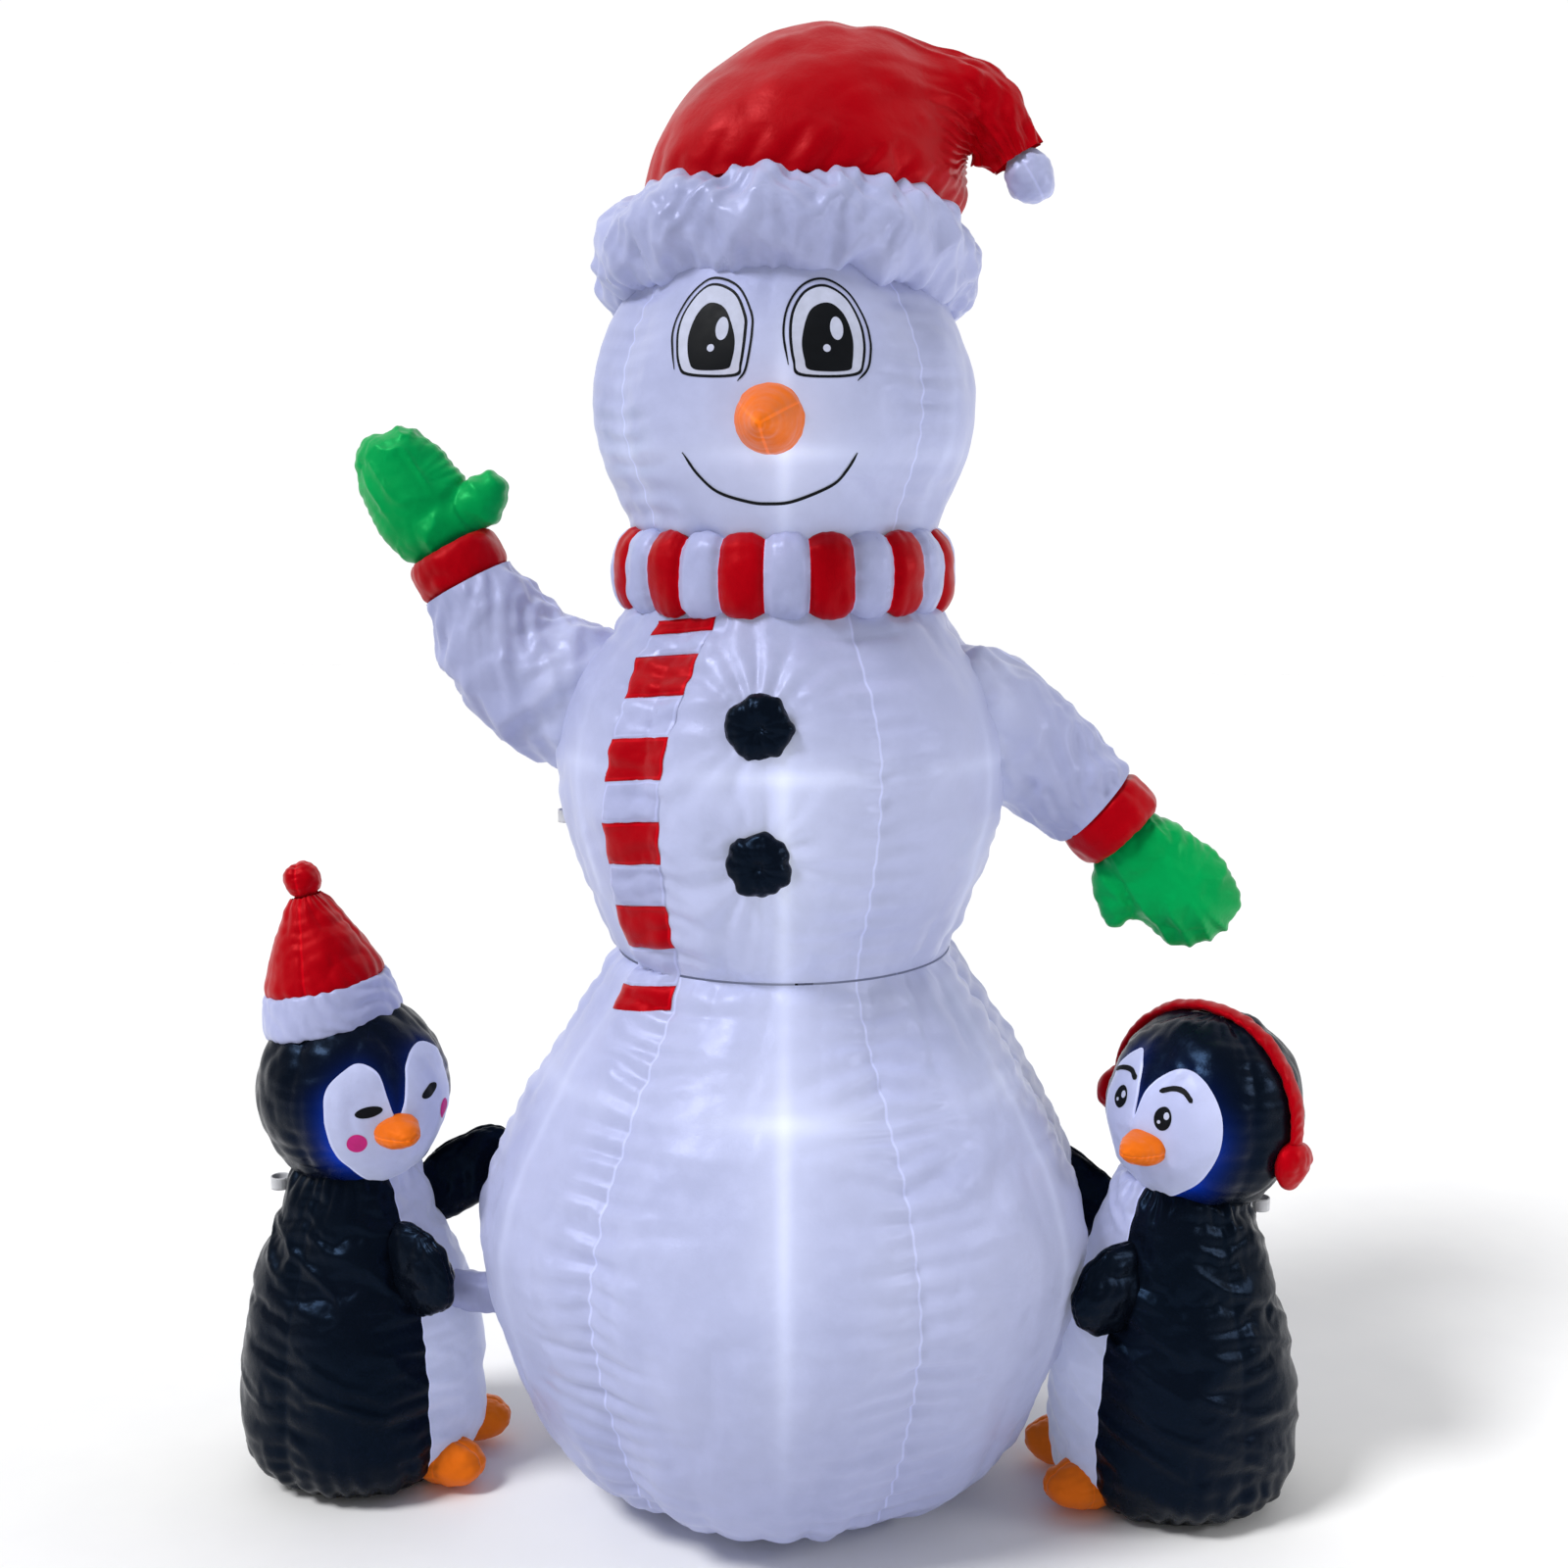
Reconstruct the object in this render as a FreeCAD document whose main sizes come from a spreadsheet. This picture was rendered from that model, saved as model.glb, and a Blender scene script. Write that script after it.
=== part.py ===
import FreeCAD, Part
import Sketcher
import math
import os

# Inflatable yard snowman with two penguins.
# Millimetres, +Z up, the snowman faces -Y, the origin is the centre of its base.
# Azimuths are in degrees about +Z, 0 at the front (-Y), growing towards +X.

V = FreeCAD.Vector
X_AXIS = V(1, 0, 0)
Y_AXIS = V(0, 1, 0)
Z_AXIS = V(0, 0, 1)

doc = FreeCAD.newDocument("yard_snowman")
sheet = doc.addObject("Spreadsheet::Sheet", "dims")


# ---------------------------------------------------------------- sizes

SIZES = {
    # fabric and sewing
    "skin": 1.5, "gap": 1.0,
    # snowman body, from the floor up
    "foot_radius": 199, "seam_radius": 291, "seam_height": 30, "waist_radius": 277,
    "waist_height": 940, "neck_radius": 236, "neck_height": 1565,
    "head_height": 1830, "gore_angle": 60, "face_panel_angle": 104,
    # scarf
    "collar_radius": 277, "collar_depth": 138, "collar_stripes": 12, "collar_turn": -8,
    "tail_width": 108, "tail_skin": 4,
    # hat
    "hat_tilt": 10.6, "brim_radius": 303, "brim_depth": 156, "brim_top_radius": 252, "brim_rise": 224,
    "crown_radius": 250, "fold_radius": 75, "tip_radius": 38, "pompom_radius": 44, "fold_gap": 11,
    # face and buttons
    "nose_radius": 47, "nose_length": 125, "nose_height": 1800, "button_radius": 48, "button_depth": 30,
    "upper_button_height": 1349, "lower_button_height": 1144,
    # arms
    "sleeve_split": 165, "cuff_radius": 76, "cuff_length": 64, "palm_length": 118, "palm_width": 88,
    "palm_depth": 58, "thumb_length": 68, "thumb_radius": 38,
    # penguins
    "bird_foot_radius": 145, "bird_radius": 202, "bird_neck_radius": 104, "bird_neck_height": 545,
    "belly_angle": 74, "bird_head_radius": 165, "bird_head_height": 676, "face_width": 250,
    "face_height": 216, "beak_length": 62, "beak_radius": 36, "flipper_length": 118,
    "flipper_width": 62, "flipper_depth": 34, "toe_length": 72, "toe_width": 46, "toe_height": 44,
    "bird_hat_radius": 104, "bird_hat_height": 168, "bird_band_height": 74, "bird_pompom_radius": 34,
    "muff_band_width": 34, "muff_band_skin": 12, "muff_pad_radius": 42, "muff_pad_depth": 26,
    # blower
    "blower_height": 200, "blower_tilt": 20, "blower_stand": 12, "case_radius": 84, "case_depth": 112,
    "case_wall": 2.5, "flange_radius": 95, "nozzle_radius": 44, "nozzle_length": 24, "fan_radius": 60,
    "fan_width": 32, "fan_blades": 20, "blade_skin": 1.6, "hub_radius": 11, "shaft_radius": 3,
    "motor_radius": 27, "motor_length": 38, "bar_width": 2.6, "bar_count": 24, "collar_length": 24,
    "cord_radius": 2.4, "jack_radius": 7.5, "jack_bore": 2.8, "jack_depth": 9,
    # drawstring stopper
    "stopper_radius": 8.5, "stopper_length": 20, "plunger_radius": 5.5, "plunger_length": 14,
    # zip
    "zip_bottom": 620, "zip_top": 850, "tape_width": 30, "tape_skin": 10, "teeth_width": 6,
    "teeth_height": 2, "tooth_pitch": 6, "slider_length": 18, "slider_width": 12, "slider_height": 5,
    "pull_length": 34,
    "pull_width": 10, "pull_skin": 1.8, "pin_radius": 1.2,
    # lamps, harness, ballast, tethers
    "lamp_radius": 12, "lamp_length": 26, "lens_radius": 15, "wire_radius": 2.5, "ballast_radius": 165,
    "ballast_height": 34, "loop_radius": 17, "loop_skin": 2.5, "loop_width": 22, "port_radius": 34,
}


class Size:
    """A sheet value that carries the expression it came from."""

    def __init__(self, value, text):
        self.value = value
        self.text = text

    def join(self, other, sign, value):
        text = other.text if isinstance(other, Size) else repr(other)
        return Size(value, f"({self.text} {sign} {text})")

    def __add__(self, other):
        return self.join(other, "+", self.value + float(other))

    def __sub__(self, other):
        return self.join(other, "-", self.value - float(other))

    def __mul__(self, other):
        return self.join(other, "*", self.value * float(other))

    def __truediv__(self, other):
        return self.join(other, "/", self.value / float(other))

    def __neg__(self):
        return self * -1

    def __float__(self):
        return float(self.value)


class Sizes:
    """The driving dimensions, read back from the sheet by alias."""

    def __init__(self, values):
        for row, (alias, value) in enumerate(values.items(), start=1):
            sheet.set(f"A{row}", alias.replace("_", " "))
            sheet.set(f"B{row}", str(value))
            sheet.setAlias(f"B{row}", alias)
        doc.recompute()
        for alias in values:
            setattr(self, alias, Size(float(sheet.get(alias)), f"dims.{alias}"))


D = Sizes(SIZES)
nodes = {}


def keep(name, obj):
    """Make a document object the sub-part that is written as NAME.step."""
    obj.Label = name
    nodes[name] = obj
    return obj


def bind(obj, **sizes):
    for prop, size in sizes.items():
        if isinstance(size, Size):
            obj.setExpression(prop, size.text)
        else:
            setattr(obj, prop, size)
    return obj


def new(kind, name, placement=None, **sizes):
    obj = doc.addObject(kind, name)
    if placement is not None:
        obj.Placement = placement
    return bind(obj, **sizes)


def feature(name, shape, placement=None):
    """A sub-part whose freeform shape comes from Part's own functions."""
    obj = doc.addObject("Part::Feature", name)
    obj.Shape = shape
    if placement is not None:
        obj.Placement = placement
    return obj


def cut(name, base, *tools):
    tool = tools[0]
    if len(tools) > 1:
        tool = fuse(name + "_tools", *tools)
    return new("Part::Cut", name, Base=base, Tool=tool)


def fuse(name, *shapes):
    return new("Part::MultiFuse", name, Shapes=list(shapes))


def common(name, base, tool):
    return new("Part::Common", name, Base=base, Tool=tool)


def group(name, *shapes):
    """Identical items that share one sub-part, as separate solids."""
    return keep(name, new("Part::Compound", name, Links=list(shapes)))


def turn(axis, degrees):
    return FreeCAD.Rotation(axis, degrees)


def at(x, y, z, rotation=None):
    return FreeCAD.Placement(V(float(x), float(y), float(z)), rotation or FreeCAD.Rotation())


def outward(azimuth, radius=1.0, z=0.0):
    """The point at an azimuth, a radius from the axis and a height."""
    a = math.radians(azimuth)
    return V(radius * math.sin(a), -radius * math.cos(a), z)


# ---------------------------------------------------------------- bodies of revolution

def outline(stations):
    """A smooth curve in the XZ half plane through (radius, height) stations."""
    curve = Part.BSplineCurve()
    curve.interpolate([V(float(r), 0, float(z)) for r, z in stations])
    return curve


def inset_outline(curve, depth, samples=14):
    """The same curve moved towards the inside by depth."""
    points = []
    for i in range(samples + 1):
        u = curve.FirstParameter + (curve.LastParameter - curve.FirstParameter) * i / samples
        along = curve.tangent(u)[0]
        points.append(curve.value(u) + V(-along.z, 0, along.x) * depth)
    moved = Part.BSplineCurve()
    moved.interpolate(points)
    return moved


def wall_face(curve, inner, outer=0.0):
    """A closed face between two insets of an outline: a fabric wall."""
    a = inset_outline(curve, float(outer))
    b = inset_outline(curve, float(inner))
    ends = [
        Part.makeLine(a.value(a.LastParameter), b.value(b.LastParameter)),
        Part.makeLine(b.value(b.FirstParameter), a.value(a.FirstParameter)),
    ]
    return Part.Face(Part.Wire([a.toShape(), ends[0], b.toShape(), ends[1]]))


def core_face(curve, grow=0.0):
    """The face between an outline and the axis, as a solid filling."""
    edge = inset_outline(curve, -grow)
    low = edge.value(edge.FirstParameter)
    high = edge.value(edge.LastParameter)
    lines = [Part.makeLine(high, V(0, 0, high.z)), Part.makeLine(V(0, 0, high.z), V(0, 0, low.z)),
             Part.makeLine(V(0, 0, low.z), low)]
    return Part.Face(Part.Wire([edge.toShape()] + lines))


def revolve(face, centre=0.0, span=360.0):
    """Turn an XZ face about Z over a span of azimuths about its centre."""
    start = centre - span / 2 - 90
    turned = face.copy()
    turned.rotate(V(0, 0, 0), Z_AXIS, start)
    return turned.revolve(V(0, 0, 0), Z_AXIS, span)


def radius_at(curve, z):
    """Radius of an outline at a height."""
    low, high = curve.FirstParameter, curve.LastParameter
    rising = curve.value(high).z > curve.value(low).z
    for _ in range(40):
        middle = (low + high) / 2
        if (curve.value(middle).z < z) == rising:
            low = middle
        else:
            high = middle
    return curve.value(low).x


# ---------------------------------------------------------------- sketched bodies

def origin_plane(body, role):
    return [item for item in body.Origin.OriginFeatures if item.Role == role][0]


def new_body(name, placement=None):
    body = doc.addObject("PartDesign::Body", name)
    if placement is not None:
        body.Placement = placement
    return body


def new_sketch(body, name, role="XZ_Plane"):
    sketch = body.newObject("Sketcher::SketchObject", name)
    sketch.AttachmentSupport = (origin_plane(body, role), [""])
    sketch.MapMode = "FlatFace"
    return sketch


def polygon(sketch, corners):
    """A closed polygon whose corners are held by distances bound to the sheet."""
    points = [V(float(x), float(y), 0) for x, y in corners]
    first = sketch.GeometryCount
    for i, point in enumerate(points):
        sketch.addGeometry(Part.LineSegment(point, points[(i + 1) % len(points)]))
    for i in range(len(points)):
        after = first + (i + 1) % len(points)
        sketch.addConstraint(Sketcher.Constraint("Coincident", first + i, 2, after, 1))
    for i, corner in enumerate(corners):
        for kind, size in (("DistanceX", corner[0]), ("DistanceY", corner[1])):
            index = sketch.addConstraint(Sketcher.Constraint(kind, -1, 1, first + i, 1, float(size)))
            if isinstance(size, Size):
                sketch.setExpression(f"Constraints[{index}]", size.text)


def circles(sketch, radii, centre=(0.0, 0.0)):
    """Circles about one centre, with radii bound to the sheet."""
    for radius in radii:
        middle = V(float(centre[0]), float(centre[1]), 0)
        index = sketch.addGeometry(Part.Circle(middle, Z_AXIS, float(radius)))
        for kind, size in (("DistanceX", centre[0]), ("DistanceY", centre[1])):
            place = sketch.addConstraint(Sketcher.Constraint(kind, -1, 1, index, 3, float(size)))
            if isinstance(size, Size):
                sketch.setExpression(f"Constraints[{place}]", size.text)
        rule = sketch.addConstraint(Sketcher.Constraint("Radius", index, float(radius)))
        if isinstance(radius, Size):
            sketch.setExpression(f"Constraints[{rule}]", radius.text)


def turned_body(name, corners, placement=None):
    """A lathe-turned piece: (radius, height) corners revolved about its own Z."""
    body = new_body(name, placement)
    sketch = new_sketch(body, name + "_profile")
    polygon(sketch, corners)
    revolution = body.newObject("PartDesign::Revolution", name + "_turn")
    revolution.Profile = sketch
    revolution.ReferenceAxis = (sketch, ["V_Axis"])
    revolution.Angle = 360
    body.Tip = revolution
    return body


def pad(body, sketch, name, length, reverse=False):
    solid = body.newObject("PartDesign::Pad", name)
    solid.Profile = sketch
    bind(solid, Length=length)
    solid.Reversed = reverse
    body.Tip = solid
    return solid


def box_corners(x0, y0, x1, y1):
    return [(x0, y0), (x1, y0), (x1, y1), (x0, y1)]


# ---------------------------------------------------------------- inflated forms

def ellipsoid(name, placement, half_x, half_y, half_z, inset=0.0):
    """An ellipsoid with half axes along its own X, Y and Z."""
    solid = new("Part::Ellipsoid", name, placement, Angle1=-90, Angle2=90, Angle3=360)
    return bind(solid, Radius1=half_z - inset, Radius2=half_x - inset, Radius3=half_y - inset)


def hollow(name, make):
    """The fabric left between a form and the same form one skin smaller."""
    outer = make(name + "_outer", 0.0)
    inner = make(name + "_inner", D.skin)
    return cut(name + "_skin", outer, inner)


def tube_along(name, rings, inset=0.0):
    """A loft through circles: each ring is (x, y, z, radius, rotation)."""
    sections = []
    for i, (x, y, z, radius, rotation) in enumerate(rings):
        ring = new("Part::Circle", f"{name}_ring_{i}", at(x, y, z, rotation * turn(Z_AXIS, 90)))
        if isinstance(radius, Size):
            bind(ring, Radius=radius - inset)
        else:
            ring.Radius = radius - float(inset)
        sections.append(ring)
    return new("Part::Loft", name, Sections=sections, Solid=True, Ruled=False)


RING_POINTS = 24


def ring_points(x, y, z, radius, rotation):
    """Points round a ring, the first one repeated at the end."""
    frame = at(x, y, z, rotation)
    turns = [2 * math.pi * i / RING_POINTS for i in range(RING_POINTS)] + [0.0]
    return [frame.multVec(V(float(radius) * math.cos(t), float(radius) * math.sin(t), 0)) for t in turns]


def tube_surface(rings):
    surface = Part.BSplineSurface()
    surface.interpolate([ring_points(*ring) for ring in rings])
    return surface


def end_wires(surface):
    """The closed outlines at the two ends of a tube surface."""
    low, high, _, _ = surface.bounds()
    return [Part.Wire([surface.uIso(u).toShape()]) for u in (low, high)]


def sewn(name, faces):
    shell = Part.makeShell(faces)
    shell.sewShape()
    return feature(name, Part.makeSolid(shell))


def skin_tube(name, rings):
    """The fabric of an open tube through rings, with a ring of edge at both ends."""
    inner = [(x, y, z, float(radius) - float(D.skin), rotation) for x, y, z, radius, rotation in rings]
    walls = [tube_surface(level) for level in (rings, inner)]
    faces = [wall.toShape() for wall in walls]
    for rims in zip(*(end_wires(wall) for wall in walls)):
        faces.append(Part.makeFace(list(rims), "Part::FaceMakerBullseye"))
    return sewn(name, faces)


def filled_tube(name, rings):
    """The same tube as a solid."""
    wall = tube_surface(rings)
    return sewn(name, [wall.toShape()] + [Part.Face(rim) for rim in end_wires(wall)])


# ---------------------------------------------------------------- snowman body

LOWER = outline([
    (D.seam_radius, D.seam_height), (392, 100), (453, 220), (497, 360), (511, 480), (470, 620),
    (380, 780), (D.waist_radius, D.waist_height),
])
TORSO = outline([
    (D.waist_radius, D.waist_height), (309, 1020), (345, 1120), (365, 1250), (335, 1380),
    (262, 1490), (D.neck_radius, D.neck_height),
])
CROWN_OPENING_RADIUS = 80
HEAD = outline([
    (D.neck_radius, D.neck_height), (244, 1640), (269, 1700), (299, 1790), (297, 1870),
    (266, 1960), (201, 2050), (CROWN_OPENING_RADIUS, 2116),
])
lower_core = feature("lower_core", revolve(core_face(LOWER)))
torso_core = feature("torso_core", revolve(core_face(TORSO)))
head_core = feature("head_core", revolve(core_face(HEAD)))


def gore(name, curve, centre, span):
    return feature(name, revolve(wall_face(curve, D.skin), centre, float(span)))


def dish():
    """The base panel: a flat foot that turns up to the seam with the gores."""
    foot, skin = float(D.foot_radius), float(D.skin)
    seam = LOWER.value(LOWER.FirstParameter)
    inner_seam = inset_outline(LOWER, skin).value(0)
    middle = V((foot + seam.x) / 2, 0, seam.z * 0.4)
    edges = [
        Part.makeLine(V(0, 0, 0), V(foot, 0, 0)),
        Part.Arc(V(foot, 0, 0), middle, seam).toShape(),
        Part.makeLine(seam, inner_seam),
        Part.Arc(inner_seam, middle + V(-skin / 2, 0, skin), V(foot, 0, skin)).toShape(),
        Part.makeLine(V(foot, 0, skin), V(0, 0, skin)),
        Part.makeLine(V(0, 0, skin), V(0, 0, 0)),
    ]
    return feature("base_panel", revolve(Part.Face(Part.Wire(edges))))


# Blower axis: it leaves the back of the lower body, tilted down to the fabric's own slope.
BLOWER_FRAME = at(
    0,
    radius_at(LOWER, float(D.blower_height)) + float(D.blower_stand) * math.cos(math.radians(20)),
    float(D.blower_height) - float(D.blower_stand) * math.sin(math.radians(20)),
    turn(X_AXIS, -90 - float(D.blower_tilt)),
)
COLLAR_SKIN = 2.0


def on_blower(x=0.0, y=0.0, z=0.0, rotation=None):
    return BLOWER_FRAME * at(x, y, z, rotation)


collar_hole = new("Part::Cylinder", "collar_hole", on_blower(z=-90), Height=180)
bind(collar_hole, Radius=D.case_radius + COLLAR_SKIN)

# Birds stand beside the body; air reaches each one through a port at mid height.
BIRDS = {
    "left_penguin": {"x": -737, "y": -62, "body": 88, "head": 41, "head_shift": 0, "roll": -6, "near": -1},
    "right_penguin": {"x": 670, "y": -5, "body": -80, "head": -38, "head_shift": 38, "roll": 9, "near": 1},
}
PORT_HEIGHT = 330
PORT_START = -160


def port_cutter(name, bird, radius):
    """A cylinder from a point in front of the snowman's axis out to a bird's axis."""
    reach = bird["y"] - PORT_START
    length = math.hypot(bird["x"], reach)
    azimuth = math.degrees(math.atan2(bird["x"], -reach))
    frame = at(0, PORT_START, PORT_HEIGHT, turn(Z_AXIS, azimuth)) * at(0, 0, 0, turn(X_AXIS, 90))
    return new("Part::Cylinder", name, frame, Radius=radius, Height=length)


ports = [port_cutter(f"{name}_port", bird, D.port_radius) for name, bird in BIRDS.items()]


def snowman_body():
    keep("base_panel", dish())
    keep("lower_front_gore", gore("lower_front_gore", LOWER, 0, D.gore_angle))
    sides = []
    for i, azimuth in enumerate((60, 120, -60, -120)):
        panel = gore(f"lower_side_{i}", LOWER, azimuth, D.gore_angle)
        sides.append(cut(f"lower_side_open_{i}", panel, *ports))
    group("lower_side_gores", *sides)
    back = gore("lower_back_panel", LOWER, 180, D.gore_angle)
    keep("lower_back_gore", cut("lower_back_gore", back, collar_hole, zip_slot))
    keep("torso_front_gore", gore("torso_front_gore", TORSO, 0, D.gore_angle))
    panels = []
    for i, azimuth in enumerate((60, 120, 180, 240, 300)):
        panel = gore(f"torso_panel_{i}", TORSO, azimuth, D.gore_angle)
        if azimuth != 180:
            panel = cut(f"torso_panel_open_{i}", panel, *sleeve_openings)
        panels.append(panel)
    group("torso_side_gores", *panels)
    keep("head_front_panel", gore("head_front_panel", HEAD, 0, D.face_panel_angle))
    rest = (360 - float(D.face_panel_angle)) / 2
    turned = (float(D.face_panel_angle) + rest) / 2
    backs = [gore(f"head_back_{i}", HEAD, azimuth, rest) for i, azimuth in enumerate((turned, -turned))]
    group("head_back_panels", *backs)


# ---------------------------------------------------------------- arms

# Rings along each arm: across, up, radius and the way the arm runs, in degrees above horizontal.
RIGHT_RINGS = [(235, 1312, 120, 14), (363, 1361, 120, 24), (436, 1405, 113, 38), (481, 1457, 99, 50),
               (514, 1511, 86, 58), (530, 1540, D.cuff_radius, 61)]
LEFT_RINGS = [(235, 1332, 112, -8), (348, 1308, 107, -20), (405, 1272, 96, -33), (462, 1230, 86, -38),
              (517, 1183, D.cuff_radius, -46)]
ARMS = {
    "right": {"side": -1, "rings": RIGHT_RINGS, "pivot": (318, 1338), "palm": (61, 92, 66),
              "thumb": (-44, 70, 130)},
    "left": {"side": 1, "rings": LEFT_RINGS, "pivot": (305, 1320), "palm": (86, -82, -46),
             "thumb": (-14, -96, -86)},
}


def arm_turn(side, rise):
    """Rotation that points a ring's normal outwards and up by rise degrees."""
    return turn(Y_AXIS, side * (90 - rise))


def arm_point(arm, start, rise, along, across=0.0):
    a = math.radians(rise)
    x = start[0] + along * math.cos(a) - across * math.sin(a)
    z = start[1] + along * math.sin(a) + across * math.cos(a)
    return arm["side"] * x, z


def sleeve_form(name, arm, inset):
    rings = [(arm["side"] * x, 0, z, r, arm_turn(arm["side"], rise)) for x, z, r, rise in arm["rings"]]
    return tube_along(name, rings, inset)


def cuff_form(name, arm, inset):
    x, z, _, rise = arm["rings"][-1]
    end_x, end_z = arm_point(arm, (x, z), rise, float(D.cuff_length))
    bend = arm_turn(arm["side"], rise)
    rings = [(arm["side"] * x, 0, z, D.cuff_radius, bend), (end_x, 0, end_z, D.cuff_radius, bend)]
    return tube_along(name, rings, inset)


def mitten_form(name, arm, inset):
    """Palm, thumb and wrist; the places are measured outwards and up from the cuff's end."""
    x, z, _, rise = arm["rings"][-1]
    side = arm["side"]
    wrist = arm_point(arm, (x, z), rise, float(D.cuff_length))

    def place(out, up, lean):
        return at(wrist[0] + side * out, 0, wrist[1] + up, arm_turn(side, lean))

    palm_out, palm_up, palm_lean = arm["palm"]
    palm = ellipsoid(name + "_palm", place(*arm["palm"]), D.palm_width, D.palm_depth, D.palm_length, inset)
    thumb = ellipsoid(name + "_thumb", place(*arm["thumb"]), D.thumb_radius, D.thumb_radius,
                      D.thumb_length, inset)
    heel = (wrist[0] + side * palm_out * 0.6, 0, wrist[1] + palm_up * 0.6)
    neck = tube_along(name + "_wrist", [
        (wrist[0], 0, wrist[1], D.cuff_radius - 4, arm_turn(side, rise)),
        (*heel, D.palm_depth, arm_turn(side, palm_lean)),
    ], inset)
    return fuse(name, palm, thumb, neck)


sleeve_openings = [sleeve_form(f"{name}_opening", arm, D.skin) for name, arm in ARMS.items()]


def arms():
    roots = []
    for name, arm in ARMS.items():
        pivot = at(arm["side"] * arm["pivot"][0], 0, arm["pivot"][1])
        near = new("Part::Sphere", f"{name}_near_ball", pivot, Radius=D.sleeve_split)
        far = new("Part::Sphere", f"{name}_far_ball", pivot, Radius=D.sleeve_split + D.gap)
        skin = hollow(f"{name}_sleeve", lambda label, inset, arm=arm: sleeve_form(label, arm, inset))
        root = common(f"{name}_root_near", skin, near)
        roots.append(cut(f"{name}_sleeve_root", root, torso_core))
        keep(f"{name}_sleeve", cut(f"{name}_sleeve_free", skin, far, torso_core))
        cuff = hollow(f"{name}_cuff", lambda label, inset, arm=arm: cuff_form(label, arm, inset))
        keep(f"{name}_cuff", cuff)
        mitten = hollow(f"{name}_mitten", lambda label, inset, arm=arm: mitten_form(label, arm, inset))
        keep(f"{name}_mitten", cut(f"{name}_mitten_fit", mitten, cuff_form(f"{name}_cuff_core", arm, 0.0)))
    group("sleeve_roots", *roots)


# ---------------------------------------------------------------- scarf, hat, face

def scarf():
    top = D.neck_height + D.collar_depth * 0.5
    low = D.neck_height - D.collar_depth * 0.5
    bulge = outline([(D.collar_radius - 26, low + 2), (D.collar_radius - 5, low + 28),
                     (D.collar_radius, D.neck_height),
                     (D.collar_radius - 6, top - 28), (D.collar_radius - 30, top - 2)])
    face = wall_face(bulge, 14)
    neck = core_face(TORSO, 0.4).fuse(core_face(HEAD, 0.4))
    face = face.cut(neck)
    stripe = 180 / float(D.collar_stripes)
    for shade, first in (("red", float(D.collar_turn)), ("white", float(D.collar_turn) + stripe)):
        pieces = []
        for i in range(int(float(D.collar_stripes))):
            pieces.append(feature(f"collar_{shade}_{i}", revolve(face, 2 * stripe * i + first, stripe)))
        group(f"scarf_collar_{shade}", *pieces)


# The scarf's tail, from its top down: height of each cut, azimuth of its middle there.
TAIL_CUTS = [(1500, -30), (1478, -30.5), (1445, -31.5), (1385, -30.5), (1325, -31.5), (1259, -33),
             (1194, -34.5), (1125, -35.5), (1054, -38), (981, -39.5), (916, -41.5), (879, -41)]
TAIL_LIFT = 0.8
STITCH_GAP = 1.3


def snow_radius(z):
    """Radius of the snowman's lower body or torso at a height."""
    return radius_at(TORSO if z > float(D.waist_height) else LOWER, z)


def scarf_tail():
    """Strips of fabric down the torso; the one across the waist bridges the valley straight."""
    shades = {"red": [], "white": []}
    for i in range(len(TAIL_CUTS) - 1):
        high, azimuth = TAIL_CUTS[i]
        low, next_azimuth = TAIL_CUTS[i + 1]
        parts = 1 if low < float(D.waist_height) < high else 8
        low += STITCH_GAP
        high -= STITCH_GAP
        levels = [low + (high - low) * j / parts for j in range(parts + 1)]
        points = [(snow_radius(z), z) for z in levels]
        span = math.degrees(float(D.tail_width) / snow_radius((high + low) / 2))
        face = wall_face(outline(points), -TAIL_LIFT, -float(D.tail_skin))
        strip = feature(f"tail_{i}", revolve(face, (azimuth + next_azimuth) / 2, span))
        shades["red" if i % 2 == 0 else "white"].append(strip)
    group("scarf_tail_red", *shades["red"])
    group("scarf_tail_white", *shades["white"])


HAT_FRAME = at(0, 0, D.head_height, turn(X_AXIS, -float(D.hat_tilt)))
# Rings of the crown: across, back, up, radius and sideways lean.
CROWN_RINGS = [(8, 50, 2120, D.crown_radius, 0), (30, 56, 2186, 249, 8), (76, 58, 2264, 216, 22),
               (158, 58, 2310, 158, 40), (236, 58, 2311, 103, 61), (287, 58, 2298, D.fold_radius, 84)]
TAIL_RINGS = [(287, 58, 2298, D.fold_radius, 84), (325, 52, 2276, 62, 110), (352, 46, 2248, 50, 130),
              (372, 40, 2216, D.tip_radius, 148)]
POMPOM_AT = (388, 36, 2188)


def crown_rings():
    rings = []
    for i, (x, y, z, radius, lean) in enumerate(CROWN_RINGS):
        back = -float(D.hat_tilt) * max(0, 1 - i / 2)
        rings.append((x, y, z, radius, turn(X_AXIS, back) * turn(Y_AXIS, lean)))
    return rings


def hat_tail_rings():
    return [(x, y, z, radius, turn(Y_AXIS, lean)) for x, y, z, radius, lean in TAIL_RINGS]


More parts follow.
